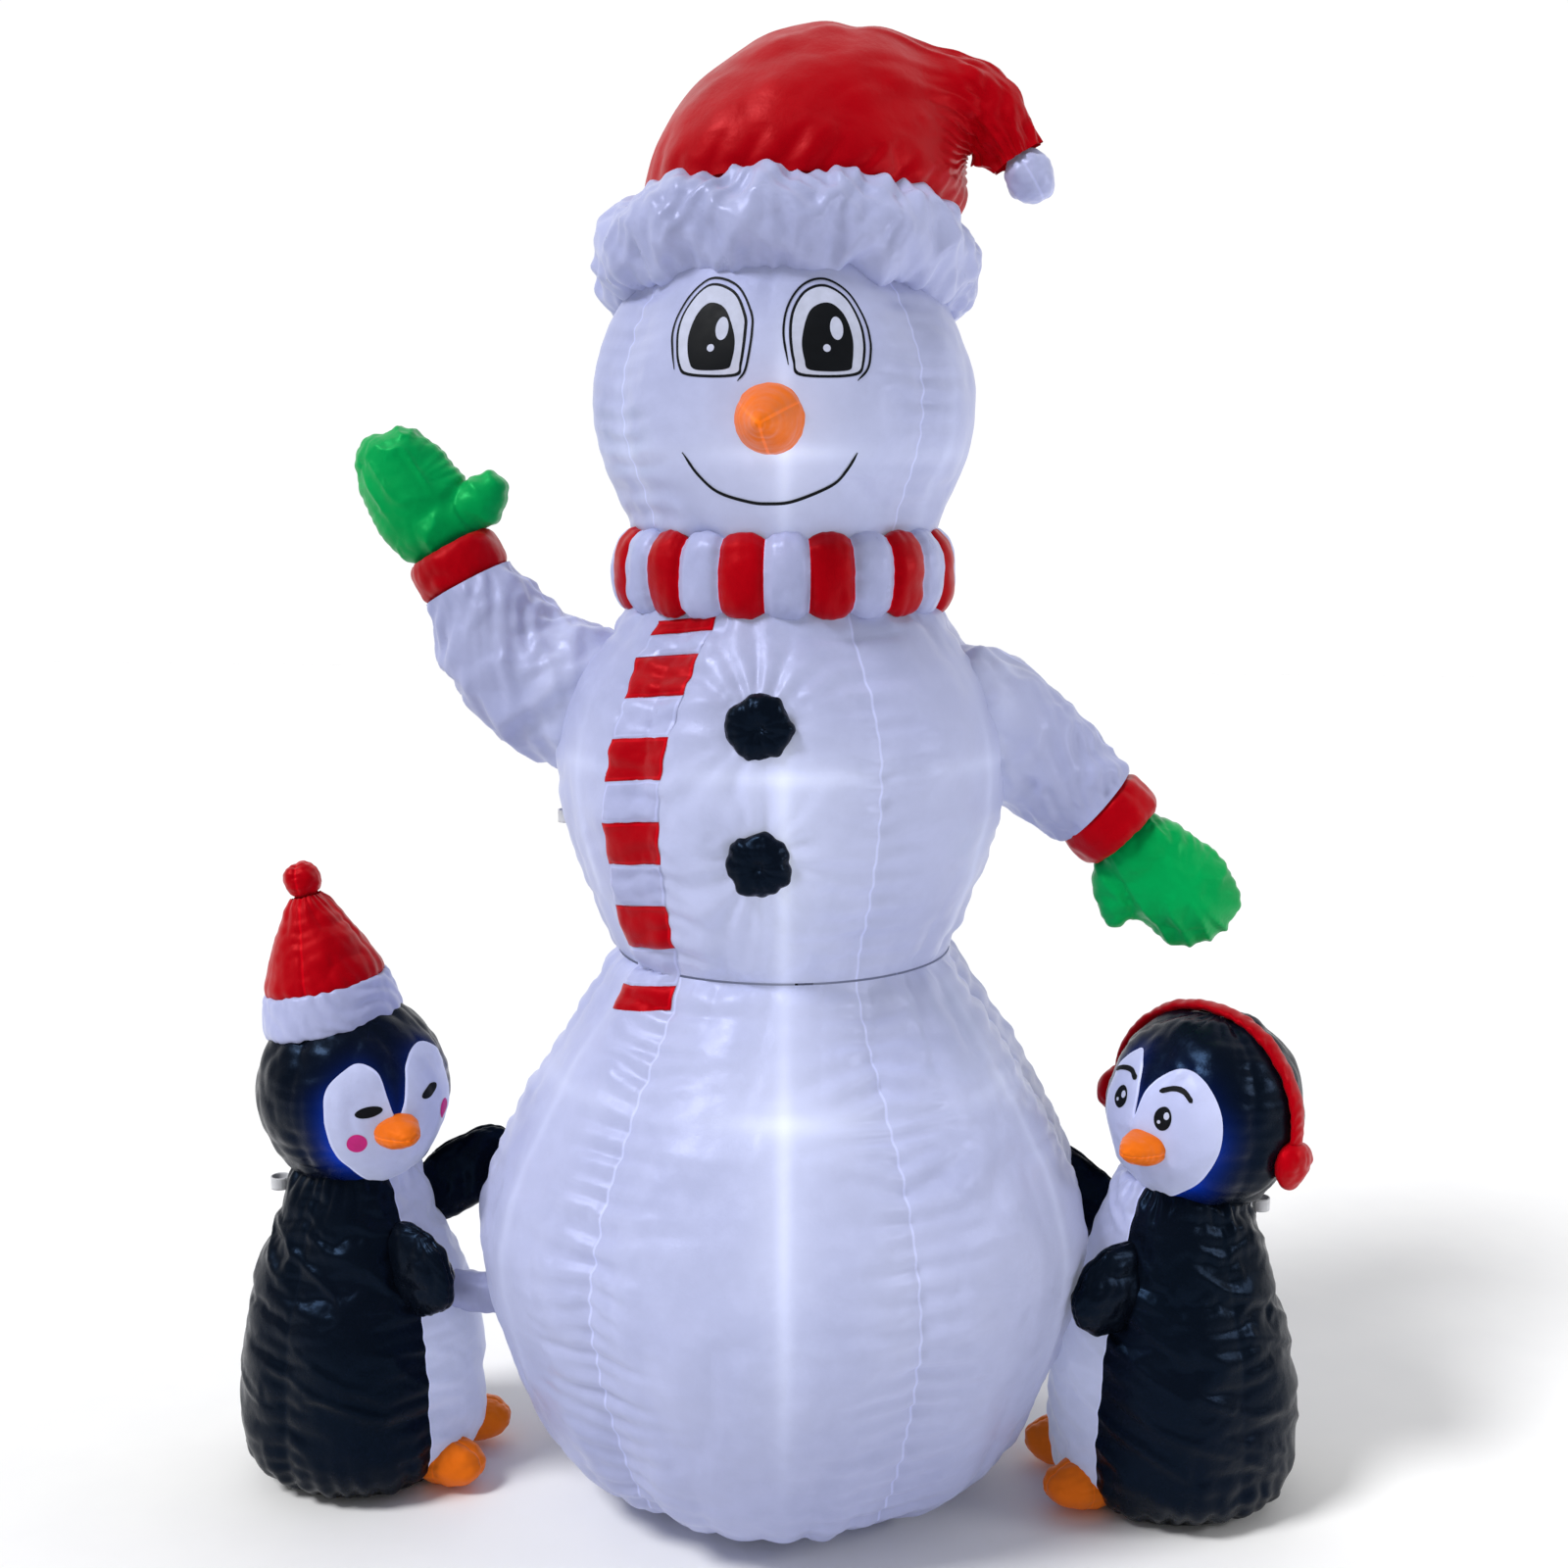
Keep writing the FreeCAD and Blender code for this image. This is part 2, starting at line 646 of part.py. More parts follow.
def hat():
    low = D.brim_rise - D.brim_depth * 0.5
    top = D.brim_rise + D.brim_depth * 0.5
    curve = outline([(D.brim_top_radius + 8, low), (D.brim_radius - 9, low + 34),
                     (D.brim_radius, D.brim_rise),
                     (D.brim_radius - 14, top - 34), (D.brim_top_radius, top)])
    brim = feature("brim_wall", revolve(wall_face(curve, D.skin)), HAT_FRAME)
    keep("hat_brim", cut("hat_brim", brim, head_core))
    brim_fill = feature("brim_fill", revolve(core_face(curve)), HAT_FRAME)
    keep("hat_crown", cut("hat_crown", skin_tube("crown_skin", crown_rings()), brim_fill, head_core))
    tail_skin = skin_tube("tail_skin_tube", hat_tail_rings())
    gap = new("Part::Box", "fold_space", at(299, -60, 2165, turn(Y_AXIS, -6)), Length=D.fold_gap,
              Width=240, Height=280)
    keep("hat_tail", cut("hat_tail_free", tail_skin, gap))
    ball = hollow("hat_pompom", lambda label, inset: ellipsoid(label, at(*POMPOM_AT), D.pompom_radius,
                                                               D.pompom_radius, D.pompom_radius, inset))
    tail_core = filled_tube("hat_tail_core", hat_tail_rings())
    keep("hat_pompom", cut("hat_pompom", ball, tail_core))


def face_and_buttons():
    place = at(10, -288, D.nose_height, turn(X_AXIS, 94))
    nose = new("Part::Cone", "nose_cone", place, Radius2=6)
    bind(nose, Radius1=D.nose_radius + 3, Height=D.nose_length + 12)
    tip = new("Part::Sphere", "nose_tip", place * at(0, 0, 134), Radius=9)
    keep("carrot_nose", cut("carrot_nose", fuse("nose_round", nose, tip), head_core))
    buttons = []
    for name, height in (("upper", D.upper_button_height), ("lower", D.lower_button_height)):
        front = -radius_at(TORSO, float(height))
        pouf = ellipsoid(f"{name}_pouf", at(0, front - 2, height), D.button_radius, D.button_depth,
                         D.button_radius)
        buttons.append(cut(f"coal_button_{name}", pouf, torso_core))
    group("coal_buttons", *buttons)


# ---------------------------------------------------------------- penguins

BIRD = outline([
    (D.bird_foot_radius, 0), (188, 38), (D.bird_radius, 115), (198, 210), (180, 320), (146, 430),
    (D.bird_neck_radius, D.bird_neck_height),
])


def bird_frame(bird, azimuth):
    return at(bird["x"], bird["y"], 0, turn(Z_AXIS, azimuth))


def head_frame(bird):
    lean = turn(Z_AXIS, bird["head"]) * turn(Y_AXIS, bird["roll"])
    return at(bird["x"] + bird["head_shift"], bird["y"], D.bird_head_height, lean)


def head_ball(name, frame, inset=0.0):
    return ellipsoid(name, frame, D.bird_head_radius, D.bird_head_radius, D.bird_head_radius + 6, inset)


bird_pieces = {}


def collect(kind, *shapes):
    """Hold one kind of penguin piece until both birds are made."""
    bird_pieces.setdefault(kind, []).extend(shapes)


def penguin(name, bird):
    frame = bird_frame(bird, bird["body"])
    core = feature(f"{name}_core", revolve(core_face(BIRD)), frame)
    back_span = 360 - float(D.belly_angle)
    back = feature(f"{name}_back", revolve(wall_face(BIRD, D.skin), 180, back_span), frame)
    front = feature(f"{name}_front", revolve(wall_face(BIRD, D.skin), 0, float(D.belly_angle)), frame)
    room = feature(f"{name}_room", revolve(core_face(LOWER, 0.5)))
    collect("penguin_bodies", cut(f"{name}_body", back, room))
    collect("penguin_bellies", cut(f"{name}_belly", front, room, *ports))

    place = head_frame(bird)
    ball_skin = hollow(f"{name}_skull_ball", lambda label, inset: head_ball(label, place, inset))
    below_neck = new("Part::Cylinder", f"{name}_below_neck", at(bird["x"], bird["y"], 300), Radius=260)
    bind(below_neck, Height=D.bird_neck_height - 299.8)
    skull = cut(f"{name}_skull", ball_skin, below_neck)
    window = new("Part::Ellipse", f"{name}_window_edge", place * at(0, 0, -12, turn(X_AXIS, 90)))
    bind(window, MajorRadius=D.face_width / 2, MinorRadius=D.face_height / 2)
    window_solid = new("Part::Extrusion", f"{name}_window", Base=window, Solid=True, LengthFwd=240)
    window_solid.DirMode = "Custom"
    window_solid.Dir = place.Rotation.multVec(V(0, -1, 0))
    collect("penguin_heads", cut(f"{name}_head", skull, window_solid))
    collect("penguin_faces", common(f"{name}_face", skull, window_solid))
    ball = head_ball(f"{name}_head_fill", place)
    beak_place = place * at(0, -float(D.bird_head_radius) - 4, -28, turn(X_AXIS, 90))
    beak = ellipsoid(f"{name}_beak_form", beak_place, D.beak_radius, D.beak_radius * 0.72, D.beak_length)
    collect("penguin_beaks", cut(f"{name}_beak", beak, ball))
    for side in (-1, 1):
        if side == bird["near"]:
            wing_frame = frame * at(side * 104, -132, 402, turn(Z_AXIS, side * 30) * turn(X_AXIS, 18))
            wing = ellipsoid(f"{name}_wing_near", wing_frame, D.flipper_depth, D.flipper_length * 0.8,
                             D.flipper_width + 14)
        else:
            wing_frame = frame * at(side * 88, -150, 492, turn(Z_AXIS, side * 20) * turn(X_AXIS, -38))
            wing = ellipsoid(f"{name}_wing_far", wing_frame, D.flipper_depth, D.flipper_length,
                             D.flipper_width)
        collect("penguin_flippers", cut(f"{name}_flipper_{side}", wing, core, room))
        toe_frame = frame * at(side * 74, -170, 44, turn(Z_AXIS, side * 14))
        toe = ellipsoid(f"{name}_toe_{side}", toe_frame, D.toe_width, D.toe_length, D.toe_height)
        collect("penguin_feet", cut(f"{name}_foot_{side}", toe, core, room))
    base = new("Part::Cylinder", f"{name}_base", frame, Radius=D.bird_foot_radius - 1.6, Height=1)
    collect("penguin_base_panels", base)
    return ball, place


def penguin_hat(ball):
    """A small stocking hat that leans off the left bird's head."""
    bird = BIRDS["left_penguin"]
    frame = at(bird["x"] - 30, bird["y"], 792, turn(Y_AXIS, -11))
    band = new("Part::Cone", "bird_band_form", frame, Radius1=D.bird_hat_radius + 9,
               Radius2=D.bird_hat_radius + 2, Height=D.bird_band_height)
    hollow_band = new("Part::Cone", "bird_band_room", frame, Radius1=D.bird_hat_radius + 1,
                      Radius2=D.bird_hat_radius - 6, Height=D.bird_band_height)
    keep("left_penguin_hat_band", cut("left_penguin_hat_band", band, hollow_band, ball))
    top = frame * at(0, 0, D.bird_band_height)

    def cone(label, inset):
        form = new("Part::Cone", label, top, Height=D.bird_hat_height - D.bird_band_height * 0.2)
        return bind(form, Radius1=D.bird_hat_radius - inset, Radius2=D.bird_pompom_radius - 8 - inset)

    keep("left_penguin_hat", hollow("left_penguin_hat", cone))
    height = float(D.bird_hat_height) - float(D.bird_band_height) * 0.2 + float(D.bird_pompom_radius) * 0.8
    pompom = new("Part::Sphere", "bird_pompom_form", top * at(0, 0, height), Radius=D.bird_pompom_radius)
    keep("left_penguin_pompom", cut("left_penguin_pompom", pompom, cone("bird_hat_fill", 0.0)))


def ear_muffs(ball, place):
    """A puffed band over the right bird's head with a pad on each ear."""
    lean = place * at(0, 0, 0, turn(X_AXIS, 90))
    half = D.muff_band_width / 2
    ring = new("Part::Cylinder", "muff_ring", lean * at(0, 0, -float(half)), Height=D.muff_band_width)
    bind(ring, Radius=D.bird_head_radius + D.muff_band_skin + 4)
    lower_half = new("Part::Box", "muff_lower_half", place * at(-300, -300, -330), Length=600, Width=600,
                     Height=330)
    grown = head_ball("muff_room", place, -1.0)
    keep("right_penguin_muff_band", cut("right_penguin_muff_band", ring, grown, lower_half))
    pads = []
    for side in (-1, 1):
        frame = place * at(side * (float(D.bird_head_radius) + 8), 0, -34, turn(Y_AXIS, 90))
        pad_form = ellipsoid(f"muff_pad_{side}", frame, D.muff_pad_radius, D.muff_pad_radius,
                             D.muff_pad_depth)
        pads.append(cut(f"muff_pad_cut_{side}", pad_form, grown, ring))
    group("right_penguin_muff_pads", *pads)


def penguins():
    heads = {name: penguin(name, bird) for name, bird in BIRDS.items()}
    for kind, shapes in bird_pieces.items():
        group(kind, *shapes)
    penguin_hat(heads["left_penguin"][0])
    ear_muffs(*heads["right_penguin"])
    bird = BIRDS["left_penguin"]
    outer = port_cutter("air_sleeve_outer", bird, D.port_radius)
    inner = port_cutter("air_sleeve_inner", bird, D.port_radius - D.skin)
    room = doc.getObject("left_penguin_core")
    keep("penguin_air_sleeve", cut("penguin_air_sleeve", outer, inner, room, lower_core))


# ---------------------------------------------------------------- blower

CASE_BACK = -float(D.case_depth)


def blower_case():
    """A round housing with a flange at its outer face and an outlet nozzle inside the body."""
    wall = D.case_wall
    corners = [
        (D.nozzle_radius, -D.case_depth), (D.nozzle_radius, -D.case_depth - D.nozzle_length),
        (D.nozzle_radius + wall, -D.case_depth - D.nozzle_length),
        (D.nozzle_radius + wall, -D.case_depth - wall),
        (D.case_radius - 1, -D.case_depth - wall), (D.case_radius - 1, -wall * 2),
        (D.flange_radius, -wall * 2), (D.flange_radius, 0.0), (D.case_radius - 1 - wall, 0.0),
        (D.case_radius - 1 - wall, -D.case_depth),
    ]
    keep("blower_case", turned_body("blower_case", corners, on_blower()))


JACK_PLACE = (0.0, -58.0)


def intake_grille():
    """Rings and radial bars that keep leaves and fingers out of the fan."""
    body = new_body("intake_grille", on_blower(z=-6))
    sketch = new_sketch(body, "grille_rim", "XY_Plane")
    circles(sketch, [D.case_radius - 1 - D.case_wall, D.case_radius - 6 - D.case_wall])
    pad(body, sketch, "grille_rim_pad", D.bar_width * 2)
    for i, share in enumerate((0.22, 0.46, 0.70)):
        ring = new_sketch(body, f"grille_ring_{i}", "XY_Plane")
        circles(ring, [D.case_radius * share, D.case_radius * share - D.bar_width])
        pad(body, ring, f"grille_ring_pad_{i}", D.bar_width)
    hub = new_sketch(body, "grille_hub", "XY_Plane")
    circles(hub, [D.hub_radius])
    pad(body, hub, "grille_hub_pad", D.bar_width * 1.5)
    bar = new_sketch(body, "grille_bar", "XY_Plane")
    half = D.bar_width / 2
    polygon(bar, box_corners(D.hub_radius - 2, -half, D.case_radius - 4 - D.case_wall, half))
    bar_pad = pad(body, bar, "grille_bar_pad", D.bar_width)
    spokes = body.newObject("PartDesign::PolarPattern", "grille_spokes")
    spokes.Originals = [bar_pad]
    spokes.Axis = (bar, ["N_Axis"])
    spokes.Angle = 360
    spokes.Occurrences = int(float(D.bar_count))
    body.Tip = spokes
    boss = new_sketch(body, "jack_boss", "XY_Plane")
    circles(boss, [D.jack_radius + 4], JACK_PLACE)
    pad(body, boss, "jack_boss_pad", D.bar_width * 2)
    doc.recompute()
    seat = new_sketch(body, "jack_seat", "XY_Plane")
    circles(seat, [D.jack_radius], JACK_PLACE)
    pocket = body.newObject("PartDesign::Pocket", "jack_seat_pocket")
    pocket.Profile = seat
    pocket.Type = 1
    pocket.Midplane = True
    body.Tip = pocket
    doc.recompute()
    whole = math.pi * (float(D.jack_radius) ** 2) * float(D.bar_width) * 2
    removed = body.getObject("jack_boss_pad").Shape.Volume - pocket.Shape.Volume
    if removed < 0.9 * whole:
        raise RuntimeError("the jack's seat was not cut")
    keep("intake_grille", body)


FAN_Z = -46.0


def fan():
    """A backward-curved centrifugal wheel on the motor's shaft."""
    body = new_body("fan_impeller", on_blower(z=FAN_Z))
    plate = new_sketch(body, "fan_plate", "XY_Plane")
    circles(plate, [D.fan_radius])
    pad(body, plate, "fan_plate_pad", D.blade_skin * 1.5)
    hub = new_sketch(body, "fan_hub", "XY_Plane")
    circles(hub, [D.hub_radius])
    pad(body, hub, "fan_hub_pad", D.fan_width * 0.6)
    blade = new_sketch(body, "fan_blade", "XY_Plane")
    skew = D.blade_skin * 6
    polygon(blade, [(D.fan_radius * 0.62, 0.0), (D.fan_radius - 1, skew),
                    (D.fan_radius - 1, skew + D.blade_skin), (D.fan_radius * 0.62, D.blade_skin)])
    blade_pad = pad(body, blade, "fan_blade_pad", D.fan_width)
    blades = body.newObject("PartDesign::PolarPattern", "fan_blades_round")
    blades.Originals = [blade_pad]
    blades.Axis = (blade, ["N_Axis"])
    blades.Angle = 360
    blades.Occurrences = int(float(D.fan_blades))
    body.Tip = blades
    keep("fan_impeller", body)
    shaft = new("Part::Cylinder", "fan_shaft_rod", on_blower(z=FAN_Z - 22), Radius=D.shaft_radius, Height=22)
    keep("fan_shaft", shaft)


def motor():
    """The motor can, held to the case by three arms."""
    can = new("Part::Cylinder", "motor_can", on_blower(z=FAN_Z - 6 - float(D.motor_length)),
              Radius=D.motor_radius, Height=D.motor_length)
    bore = new("Part::Cylinder", "motor_bore", on_blower(z=FAN_Z - 24), Radius=D.shaft_radius + 0.05,
               Height=30)
    keep("blower_motor", cut("blower_motor", can, bore))
    arms_made = []
    for i in range(3):
        frame = on_blower(0, 0, FAN_Z - 30, turn(Z_AXIS, 120 * i)) * at(0, -6, 0)
        arm = new("Part::Box", f"motor_arm_{i}", frame, Width=12, Height=8)
        bind(arm, Length=D.case_radius - 1.5 - D.case_wall)
        arms_made.append(arm)
    ring = new("Part::Cylinder", "motor_ring", on_blower(z=FAN_Z - 32), Radius=D.motor_radius + 4, Height=12)
    whole = fuse("motor_bracket_form", ring, *arms_made)
    room = new("Part::Cylinder", "motor_room", on_blower(z=FAN_Z - 60), Radius=D.motor_radius, Height=80)
    keep("motor_bracket", cut("motor_bracket", whole, room))


def inlet_jack():
    """The low-voltage socket in the grille; the plug-in lead is not part of this object."""
    body = turned_body("power_jack", box_corners(D.jack_bore, 0.0, D.jack_radius, D.jack_depth),
                       on_blower(*JACK_PLACE, -9))
    keep("power_jack", body)


def blower_collar():
    """The fabric sleeve that grips the case, its drawstring and the stopper on the string."""
    start = on_blower(z=-5 - float(D.collar_length))
    outer = new("Part::Cylinder", "collar_outer", start)
    bind(outer, Radius=D.case_radius + COLLAR_SKIN, Height=D.collar_length)
    inner = new("Part::Cylinder", "collar_inner", start)
    bind(inner, Radius=D.case_radius, Height=D.collar_length)
    keep("blower_collar", cut("blower_collar", outer, inner))
    string = new("Part::Torus", "drawstring_ring", on_blower(z=-9))
    bind(string, Radius1=D.case_radius + COLLAR_SKIN + D.cord_radius, Radius2=D.cord_radius)
    keep("collar_drawstring", string)
    lift = float(D.case_radius) + COLLAR_SKIN + 2 * float(D.cord_radius) + float(D.stopper_radius) - 1.5
    frame = on_blower(0, lift, -15, turn(Y_AXIS, 90)) * at(0, 0, -float(D.stopper_length) / 2)
    barrel = turned_body("string_stopper", [
        (0.0, 0.0), (D.stopper_radius, 0.0), (D.stopper_radius, D.stopper_length),
        (D.plunger_radius + 0.4, D.stopper_length), (D.plunger_radius + 0.4, 8.0), (0.0, 8.0)], frame)
    keep("string_stopper", barrel)
    plunger_frame = frame * at(0, 0, float(D.stopper_length) - 6)
    plunger = turned_body("stopper_plunger", [
        (0.0, 0.0), (D.plunger_radius, 0.0), (D.plunger_radius, D.plunger_length - 2),
        (D.plunger_radius - 2, D.plunger_length), (0.0, D.plunger_length)], plunger_frame)
    keep("stopper_plunger", plunger)


# ---------------------------------------------------------------- zip

ZIP_LIFT = 7.5


def zip_line():
    """The frame of the zip: origin at its lower end, Z up the slope, Y out of the fabric."""
    low = radius_at(LOWER, float(D.zip_bottom))
    high = radius_at(LOWER, float(D.zip_top))
    slope = math.degrees(math.atan2(low - high, float(D.zip_top) - float(D.zip_bottom)))
    length = math.hypot(low - high, float(D.zip_top) - float(D.zip_bottom))
    return at(0, low + ZIP_LIFT, D.zip_bottom, turn(X_AXIS, slope)), length


ZIP_FRAME, ZIP_LENGTH = zip_line()
zip_slot = new("Part::Box", "zip_slot", ZIP_FRAME * at(-1, -40, 12), Length=2, Width=60,
               Height=ZIP_LENGTH - 24)
SLIDER_START = 14.0
PIN_LIFT = 2.8
EAR_SKIN = 2.0


def zip_parts():
    tapes = []
    for side in (-1, 1):
        x = -float(D.tape_width) / 2 if side < 0 else 0.5
        strip = new("Part::Box", f"tape_{side}", ZIP_FRAME * at(x, -float(D.tape_skin), 0),
                    Length=D.tape_width / 2 - 0.5, Width=D.tape_skin, Height=ZIP_LENGTH)
        tapes.append(cut(f"zip_tape_{side}", strip, lower_core))
    group("zip_tapes", *tapes)
    teeth = []
    count = int((ZIP_LENGTH - 20) / float(D.tooth_pitch))
    for i in range(count):
        side = -1 if i % 2 else 1
        x = -float(D.teeth_width) / 2 if side < 0 else 0.0
        tooth = new("Part::Box", f"tooth_{i}", ZIP_FRAME * at(x, 0, 10 + i * float(D.tooth_pitch)),
                    Length=D.teeth_width / 2, Width=D.teeth_height, Height=D.tooth_pitch * 0.7)
        teeth.append(tooth)
    for end, z in (("low", 2), ("high", ZIP_LENGTH - 6)):
        stop = new("Part::Box", f"zip_stop_{end}", ZIP_FRAME * at(-4, 0, z), Length=8, Width=4, Height=4)
        teeth.append(stop)
    group("zip_teeth", *teeth)

    frame = ZIP_FRAME * at(0, 0.4, SLIDER_START)
    body = new_body("zip_slider", frame)
    outer = new_sketch(body, "slider_outline", "XY_Plane")
    half = D.slider_width / 2
    groove = D.teeth_width / 2 + 0.6
    roof = D.teeth_height + 0.4
    polygon(outer, [(-half, 0.0), (-groove, 0.0), (-groove, roof), (groove, roof), (groove, 0.0),
                    (half, 0.0),
                    (half, D.slider_height), (-half, D.slider_height)])
    pad(body, outer, "slider_pad", D.slider_length)
    ears = new_sketch(body, "slider_ears", "XY_Plane")
    for edge in (-half, half - EAR_SKIN):
        top = D.slider_height + PIN_LIFT + 2.4
        polygon(ears, box_corners(edge, D.slider_height - 1, edge + EAR_SKIN, top))
    pad(body, ears, "slider_ears_pad", D.slider_length * 0.5)
    pin_frame = frame * at(-float(half) + 1, float(D.slider_height) + PIN_LIFT, 4, turn(Y_AXIS, 90))
    pin = new("Part::Cylinder", "slider_pin_rod", pin_frame, Radius=D.pin_radius, Height=D.slider_width - 2)
    keep("zip_slider", fuse("zip_slider_whole", body, pin))

    hang = frame * at(0, float(D.slider_height) + PIN_LIFT, 4)
    tab = new_body("zip_pull", hang)
    face = new_sketch(tab, "pull_face", "XZ_Plane")
    wide = D.pull_width / 2
    narrow = D.slider_width / 2 - 2.6
    polygon(face, [(-narrow, 2.0), (-narrow, -6.0), (-wide, -12.0), (-wide, -D.pull_length),
                   (wide, -D.pull_length), (wide, -12.0), (narrow, -6.0), (narrow, 2.0)])
    thick = tab.newObject("PartDesign::Pad", "pull_pad")
    thick.Profile = face
    bind(thick, Length=D.pull_skin)
    thick.Midplane = True
    tab.Tip = thick
    eye = new("Part::Cylinder", "pull_eye", hang * at(-10, 0, 0, turn(Y_AXIS, 90)),
              Radius=D.pin_radius + 0.08, Height=20)
    barrel = new("Part::Cylinder", "pull_barrel", hang * at(-float(narrow), 0, 0, turn(Y_AXIS, 90)),
                 Radius=D.pin_radius + 1.1, Height=narrow * 2)
    keep("zip_pull", cut("zip_pull_open", fuse("zip_pull_solid", tab, barrel), eye))


# ---------------------------------------------------------------- lamps, harness, ballast, tethers

LAMPS = {"lower": (0, 0, 640), "torso": (0, 0, 1215), "head": (0, 0, 1775)}
for bird_name, bird_data in BIRDS.items():
    LAMPS[bird_name] = (bird_data["x"] + bird_data["head_shift"], bird_data["y"],
                        float(D.bird_head_height) - 40)


def lamps():
    bases = []
    lenses = []
    for name, place in LAMPS.items():
        bases.append(new("Part::Cylinder", f"{name}_lamp_base", at(*place), Radius=D.lamp_radius,
                         Height=D.lamp_length))
        top = place[2] + float(D.lamp_length)
        globe = new("Part::Sphere", f"{name}_globe", at(place[0], place[1], top + 8), Radius=D.lens_radius)
        plug = new("Part::Cylinder", f"{name}_plug", at(*place), Radius=D.lens_radius + 1,
                   Height=D.lamp_length)
        lenses.append(cut(f"{name}_lens", globe, plug))
    group("lamp_bases", *bases)
    group("lamp_lenses", *lenses)


def wire(name, points, radius):
    """A round lead along straight runs joined by tangent arcs."""
    edges = []
    start = V(*points[0])
    for i in range(1, len(points) - 1):
        before, corner, after = (V(*points[j]) for j in (i - 1, i, i + 1))
        way_in = (corner - before).normalize()
        way_out = (after - corner).normalize()
        half_turn = way_in.getAngle(way_out) / 2
        shorter = min((corner - before).Length, (after - corner).Length)
        back = 0.45 * shorter
        a = corner - way_in * back
        b = corner + way_out * back
        towards = (way_out - way_in).normalize()
        bend = back / math.tan(half_turn)
        middle = corner + towards * (bend / math.cos(half_turn) - bend)
        edges.append(Part.LineSegment(start, a).toShape())
        edges.append(Part.Arc(a, middle, b).toShape())
        start = b
    edges.append(Part.LineSegment(start, V(*points[-1])).toShape())
    path = Part.Wire(edges)
    first = V(*points[1]) - V(*points[0])
    section = Part.Wire([Part.makeCircle(float(radius), V(*points[0]), first)])
    pipe = path.makePipeShell([section], True, True)
    return feature(name, pipe)


def harness():
    """The lamp leads: one up the middle of the snowman and one across to each penguin."""
    clear = float(D.lamp_radius) + 9
    case = BLOWER_FRAME.multVec(V(60, 0, CASE_BACK - float(D.case_wall)))
    trunk = [(case.x, case.y, case.z), (case.x - 6, case.y - 55, case.z + 30), (clear + 10, 60, 330),
             (clear, 0, 520), (clear, 0, 900), (clear + 1, 2, 1300),
             (clear, 0, 1640), (clear - 2, 0, 1745), (6, 0, 1775 - 0.01)]
    leads = [wire("trunk_lead", trunk, D.wire_radius)]
    for name, bird in BIRDS.items():
        side = -1 if bird["x"] < 0 else 1
        x, y, z = LAMPS[name]
        route = [(side * 40, 40, PORT_HEIGHT - 60)]
        for share in (0.3, 0.84):
            route.append((bird["x"] * share, PORT_START + (bird["y"] - PORT_START) * share, PORT_HEIGHT))
        route += [(bird["x"] - side * 20, y, PORT_HEIGHT + 60), (bird["x"], y, PORT_HEIGHT + 170),
                 (x, y, z - 60), (x + 1, y, z)]
        leads.append(wire(f"{name}_lead", route, D.wire_radius))
    group("lamp_harness", *leads)


def ballast():
    bag = turned_body("ballast_bag", [
        (0.0, 2.5), (D.ballast_radius - 20, 2.5), (D.ballast_radius, 12.0), (D.ballast_radius - 6, 26.0),
        (D.ballast_radius - 40, D.ballast_height), (0.0, D.ballast_height - 6)])
    keep("ballast_bag", bag)


def tethers():
    """Webbing loops for guy ropes: an upright ring of strap against the fabric."""
    loops = []
    for i, (azimuth, height) in enumerate([(-92, 1147), (180, 1147)]):
        radius = radius_at(TORSO, height + float(D.loop_width) / 2) + float(D.loop_radius) - 1
        place = outward(azimuth, radius, height - float(D.loop_width) / 2)
        frame = at(place.x, place.y, place.z)
        outer = new("Part::Cylinder", f"loop_outer_{i}", frame, Radius=D.loop_radius, Height=D.loop_width)
        inner = new("Part::Cylinder", f"loop_inner_{i}", frame, Radius=D.loop_radius - D.loop_skin,
                    Height=D.loop_width)
        loops.append(cut(f"tether_loop_{i}", outer, inner, torso_core))
    for i, (name, bird) in enumerate(BIRDS.items()):
        azimuth = bird["body"] + 180
        spot = outward(azimuth, radius_at(BIRD, 490) + float(D.loop_radius) - 1)
        frame = at(bird["x"] + spot.x, bird["y"] + spot.y, 490)
        outer = new("Part::Cylinder", f"bird_loop_outer_{i}", frame, Radius=D.loop_radius,
                    Height=D.loop_width)
        inner = new("Part::Cylinder", f"bird_loop_inner_{i}", frame, Radius=D.loop_radius - D.loop_skin,
                    Height=D.loop_width)
        core = doc.getObject(f"{name}_core")
        loops.append(cut(f"bird_tether_{i}", outer, inner, core))
    group("tether_loops", *loops)


# ---------------------------------------------------------------- build and write

def broken(obj):
    return any(state in ("Invalid", "Error") for state in obj.State)


def write_parts():
    doc.recompute()
    faults = [obj.Name for obj in doc.Objects if broken(obj)]
    for name, obj in nodes.items():
        if obj.Shape.isNull() or not obj.Shape.isValid() or not obj.Shape.Solids:
            faults.append(name)
    if faults:
        raise RuntimeError("failed objects: " + ", ".join(sorted(set(faults))))
    os.makedirs("parts", exist_ok=True)
    for name, obj in nodes.items():
        obj.Shape.exportStep(f"parts/{name}.step")
    print(f"wrote {len(nodes)} sub-parts")


snowman_body()
arms()
scarf()
scarf_tail()
hat()
face_and_buttons()
penguins()
blower_case()
intake_grille()
fan()
motor()
inlet_jack()
blower_collar()
zip_parts()
lamps()
harness()
ballast()
tethers()
write_parts()
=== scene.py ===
import math
from contextlib import contextmanager

import bmesh
import bpy
import numpy as np
from mathutils import Matrix, Vector
from mathutils.bvhtree import BVHTree
from mathutils.kdtree import KDTree


